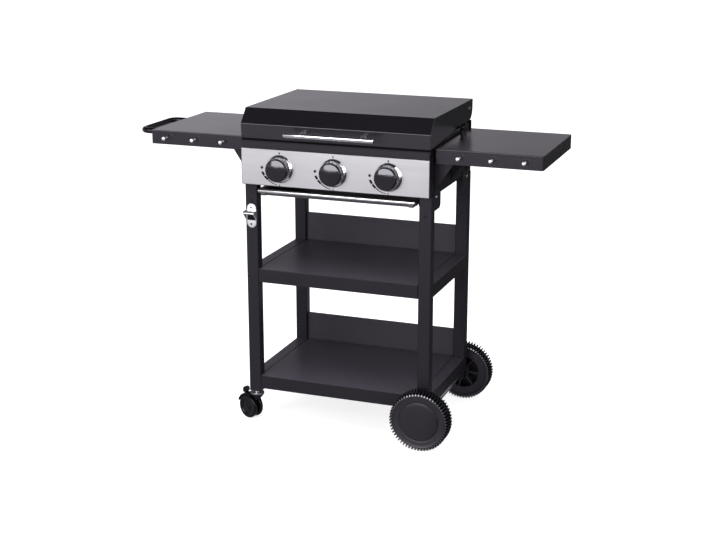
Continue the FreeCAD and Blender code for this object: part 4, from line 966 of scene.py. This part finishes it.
def bent_grip():
    """A round bar pulled out from the table's end, turned back along it, and turned in again."""
    rest_tools()
    bpy.ops.mesh.primitive_circle_add(vertices=32, radius=GRIP_RADIUS * MM, fill_type="NGON",
                                      location=at(-TABLE_OUTER, GRIP_FRONT, GRIP_HEIGHT),
                                      rotation=(0.0, math.pi / 2, 0.0))
    grip = bpy.context.active_object
    grip.name = "side_grip"
    settle()
    bpy.ops.object.mode_set(mode="EDIT")
    bpy.ops.mesh.select_mode(type="VERT")
    bpy.ops.mesh.select_all(action="SELECT")
    corner = at(-TABLE_OUTER - GRIP_STEM, GRIP_FRONT + GRIP_BEND, GRIP_HEIGHT)
    run = Vector((0, GRIP_RUN * MM, 0))
    pull_end(Vector((-GRIP_STEM * MM, 0, 0)))
    bpy.ops.mesh.spin(steps=12, angle=math.pi / 2, center=corner, axis=UPWARD)
    pull_end(run)
    bpy.ops.mesh.spin(steps=12, angle=math.pi / 2, center=corner + run, axis=UPWARD)
    pull_end(Vector((GRIP_STEM * MM, 0, 0)))
    close_seams()
    return grip


def pull_end(way):
    """Extrudes the selected end along a way."""
    bpy.ops.mesh.extrude_region_move(TRANSFORM_OT_translate={"value": way})


# Tray and opener

TRAY_BAR_Y = -206.5
TRAY_BAR_HEIGHT = 737.0
TRAY_BAR_ENDS = (-245.5, 248.5)
TRAY_PLUG_ENDS = (241.5, 249.3)


def build_tray():
    """The tray, its round bar, and the black plug in the bar's right end."""
    bar = round_bar("tray_pull_bar", 6.0, *(at(x, TRAY_BAR_Y, TRAY_BAR_HEIGHT) for x in TRAY_BAR_ENDS))
    done(bar, "tray", "stainless", "tray_bar", angle=50)
    plug = round_bar("tray_bar_plug", 6.7, *(at(x, TRAY_BAR_Y, TRAY_BAR_HEIGHT) for x in TRAY_PLUG_ENDS))
    done(plug, "tray", "tray_steel", finish="black_plastic", angle=50)
    dressed_copy("grease_tray", "tray", "tray_steel", 0.3)


OPENER_MIDDLE = -271.0
OPENER_RADIUS = 15.0
OPENER_PLATE = 2.6

# The opener's parts from the side, as Y and Z.
OPENER_BROW = ((-204.0, 675.5), (-222.0, 673.4), (-228.6, 671.2), (-229.4, 670.2), (-229.4, 667.4),
               (-228.4, 666.6), (-214.0, 667.4), (-204.0, 665.0))
OPENER_CHEEK = ((-204.0, 668.0), (-228.2, 668.0), (-225.0, 664.0), (-214.0, 652.5), (-207.5, 644.0),
                (-204.0, 641.0))
OPENER_TOOTH = ((-204.0, 654.0), (-209.5, 655.5), (-210.5, 654.0), (-207.0, 648.0), (-204.0, 646.0))


def side_shape(name, profile, middle, width):
    """A shape drawn from the side and as wide as given about its middle."""
    return prism(name, [at(middle - width / 2, y, z) for y, z in profile], Vector((width * MM, 0, 0)))


def build_opener():
    """The cast opener: an oval plate, and a hood with a brow over a mouth between two cheeks; the tooth and a
    plate at the back of the mouth are near-black as painted shade.
    """
    x = OPENER_MIDDLE
    outline = []
    for centre, first in ((679.5, 0.0), (635.5, 180.0)):
        for step in range(13):
            angle = math.radians(first + 15.0 * step)
            outline.append(at(x + OPENER_RADIUS * math.cos(angle), -CART_HALF_DEPTH,
                              centre + OPENER_RADIUS * math.sin(angle)))
    plate = prism("opener_plate", outline, FORWARD * OPENER_PLATE * MM)
    soften(plate, 1.3, 4)
    hood = [side_shape("opener_brow", OPENER_BROW, x, 37.0)]
    for _, sx in SIDES:
        hood.append(side_shape("opener_cheek", OPENER_CHEEK, x + sx * 16.6, 3.0))
    for part in hood:
        soften(part, 0.7, 3)
    tooth = side_shape("opener_tooth", OPENER_TOOTH, x, 10.0)
    soften(tooth, 0.6)
    # The tooth's near-black finish is painted shade under the hood.
    done(tooth, "cart", "cast_chrome", finish="recess_painted_shade")
    done(joined(plate, *hood), "cart", "cast_chrome", "bottle_opener")
    # A near-black plate at the back of the mouth, where there is only shade: painted shade.
    mouth = block("opener_mouth_shade_plate", at(x - 12.9, -205.4, 644.0), at(x + 12.9, -204.6, 665.6))
    soften(mouth, 0.3)
    done(mouth, "cart", "cast_chrome", finish="recess_painted_shade")


# Wheels

WHEEL_X = 275.5
WHEEL_BACK = -208.8
WHEEL_HEIGHT = 90.75
WHEEL_HALF_WIDTH = 22.7
TEETH = 58
WHEEL_STEPS = 2 * TEETH

WHEEL_DRUM = ((8.2, 0), (20, 0), (20, 35.5), (75.5, 35.5), (76, 35), (76, 7), (53, 7), (53, 3), (76, 3),
              (78.5, 0.2), (79, 0), (82.2, 0), (83.0, 0.8), (83.0, 44.4), (81.4, 45.7), (80.4, 46.0),
              (79.6, 45.6), (78.6, 44.9), (68.0, 44.3), (61.4, 44.0), (60.8, 43.6), (60.8, 39.5), (8.2, 39.5))
TREAD_BED = ((82.7, 0.9), (83.4, 0.9), (83.4, 44.6), (82.7, 44.6))
WHEEL_CAP = ((0, 39.5), (60.0, 39.5), (60.5, 40.0), (60.5, 44.0), (60.2, 44.6), (59.4, 45.0), (50, 46.0),
             (36, 47.0), (18, 47.7), (0, 48.0))

# The tread blocks: each row's depth along Y from the hub, and a block's foot, top and half width.
TREAD_ROWS = ((-45.3, -23.4), (-23.0, -0.1))
TREAD_FOOT = 82.8
TREAD_TOP = 90.7
TREAD_HALF = 87.6 * (2 * math.pi / TEETH) * 0.26


def build_wheels():
    """A moulded front wheel with its tread, rim tips coloured light as a painted highlight, and crowned cap,
    and its mirror image behind.
    """
    hub = at(WHEEL_X, WHEEL_BACK, WHEEL_HEIGHT)
    drum = turn("moulded_wheel_front", WHEEL_DRUM, hub, FORWARD, WHEEL_STEPS, ring=True)
    tread = tread_blocks(hub)
    joined(drum, wheel_spokes(hub))
    # The bed between the blocks takes the near-black finish as painted shade.
    bed = turn("tread_bed_front", TREAD_BED, hub, FORWARD, WHEEL_STEPS, ring=True)
    cap = turn("wheel_cap_front", WHEEL_CAP, hub, FORWARD, WHEEL_STEPS)
    tips = rim_tips(hub)
    inner_tips = mirrored(tips, "rim_tips_inner_front", WHEEL_BACK - WHEEL_HALF_WIDTH)
    for piece, slot, finish, node, angle in (
            (drum, "wheel_plastic", "wheel_plastic", "wheel_", 32),
            (cap, "cap_plastic", "cap_plastic", "hub_cap_", 50),
            (tread, "wheel_plastic", "tread_block", None, 32),
            (bed, "wheel_plastic", "tread_bed_shade", None, 50),
            (tips, "wheel_plastic", "wheel_ridge", None, 30),
            (inner_tips, "wheel_plastic", "wheel_ridge", None, 30)):
        twin = mirrored(piece, piece.name.replace("front", "rear"), 0)
        for end, copy in (("front", piece), ("rear", twin)):
            done(copy, "wheel_" + end, slot, *([node + end] if node else []), finish=finish, angle=angle)


def round_row(piece, hub, count, turned_by=0.0):
    """Repeats an open mesh round the wheel's axle."""
    bpy.ops.mesh.select_all(action="SELECT")
    if turned_by:
        bpy.ops.transform.rotate(value=turned_by, orient_axis="Y", orient_type="GLOBAL", center_override=hub)
    bpy.ops.mesh.spin(steps=count - 1, angle=2 * math.pi * (count - 1) / count, center=hub, axis=(0, 1, 0),
                      dupli=True)
    rest_tools()
    return piece


def tread_blocks(hub):
    """Two staggered rows of square blocks whose flanks draw in towards the top."""
    rows = []
    for index, (front, back) in enumerate(TREAD_ROWS):
        tooth = block("tread_blocks_front" if index == 0 else "second_row",
                      hub + Vector((-TREAD_HALF, front, TREAD_FOOT)) * MM,
                      hub + Vector((TREAD_HALF, back, TREAD_TOP)) * MM)
        open_piece(tooth)
        choose("FACE", lambda middle, normal: normal.z > 0.9)
        bpy.ops.transform.resize(value=(0.78, 1.0, 1.0))
        bend_edges(0.35, 1, above(hub.z + TREAD_TOP * MM))
        rows.append(round_row(tooth, hub, TEETH, math.pi / TEETH * index))
    return joined(*rows)


def rim_tips(hub):
    """The slanted tip of every block of the front row, where the tread meets the face, coloured light as a
    painted highlight.
    """
    tip = block("rim_tips_front", hub + Vector((-2.1, -46.1, 81.9)) * MM,
                hub + Vector((2.1, -44.9, 86.8)) * MM)
    swing_piece(tip, hub + Vector((0, -45.4, 84.0)) * MM, -21.0, "X")
    open_piece(tip)
    return round_row(tip, hub, TEETH)


def wheel_spokes(hub):
    """Seven flat spokes inside the drum."""
    spoke = block("spoke", hub + Vector((-2.5, -36.0, 19.0)) * MM, hub + Vector((2.5, -5.0, 77.0)) * MM)
    open_piece(spoke)
    bend_edges(1.0, 2, upright)
    return round_row(spoke, hub, 7, math.radians(12.0))


# Casters

# Each caster's end of the cart, the Y of its stem, and the angle that it is swivelled by.
CASTERS = (("front", -186.5, -24.0), ("rear", 186.5, 35.0))
CASTER_TRAIL = 31.0
CASTER_RADIUS = 37.5
CASTER_INNER = 5.0

SWIVEL_RACE = ((16.2, 86.2), (20.9, 86.2), (21.3, 86.6), (21.3, 89.6), (20.6, 90.6), (11.0, 90.6),
               (11.0, 90.2), (16.2, 90.2))
CASTER_WHEEL = ((0, 0), (33.2, 0), (35.4, 0.6), (36.8, 2.0), (37.4, 4.2), (37.5, 6.5), (37.4, 8.8),
                (36.8, 11.0), (35.4, 12.4), (33.2, 13.0), (27.2, 13.0), (26.2, 12.5), (24.6, 10.8),
                (23.6, 10.5), (12.0, 10.5), (11.0, 10.9), (10.0, 11.8), (8.6, 12.1), (0, 12.1))
CASTER_PIN = ((0, -6.0), (4.0, -6.0), (4.0, 6.0), (0, 6.0))


def build_casters():
    """Forks and pedals in their own shape, the swivel's bright race, and the twin wheels on their pin."""
    for end, y, turned_by in CASTERS:
        stem = at(-LEG_MIDDLE, y, 0.0)
        turned = Matrix.Rotation(math.radians(turned_by), 3, "Z")
        across = turned @ Vector((0, 1, 0))
        axle = stem + turned @ (Vector((-CASTER_TRAIL, 0, CASTER_RADIUS)) * MM)
        dressed_copy("caster_fork_" + end, "caster_swivel_" + end, "caster_plastic", 0.6)
        dressed_copy("caster_brake_" + end, "caster_pedal_" + end, "caster_plastic", 0.6,
                     finish="pedal_plastic")
        race = turn("swivel_race_" + end, SWIVEL_RACE, stem, UPWARD, 64, ring=True)
        done(race, "caster_swivel_" + end, "zinc", finish="race_steel", angle=45)
        wheels = []
        for side in (-1, 1):
            inner = axle + across * side * CASTER_INNER * MM
            wheels.append(turn("twin_wheels_" + end, CASTER_WHEEL, inner, across * side, 72))
        pin = turn("caster_pin", CASTER_PIN, axle, across, 32)
        done(joined(*wheels, pin), "caster_roll_" + end, "caster_tread", "caster_wheels_" + end, angle=40)


# The rest

def finish_solids():
    """Gives every CAD solid that still shows the finish of its slot."""
    for row in frame["record"]["subparts"]:
        solid = frame["nodes"][row["node"]]
        solid.data.materials.clear()
        solid.data.materials.append(FINISHES[row["material_slot"]])


set_camera()
set_stage()
set_lights()
FINISHES = mix_finishes()
finish_solids()
for build in (build_cart, build_screws, build_panel, build_knobs, build_marks, build_lid, build_lid_fittings,
              build_tables, build_tray, build_opener, build_wheels, build_casters):
    build()
rest_tools()
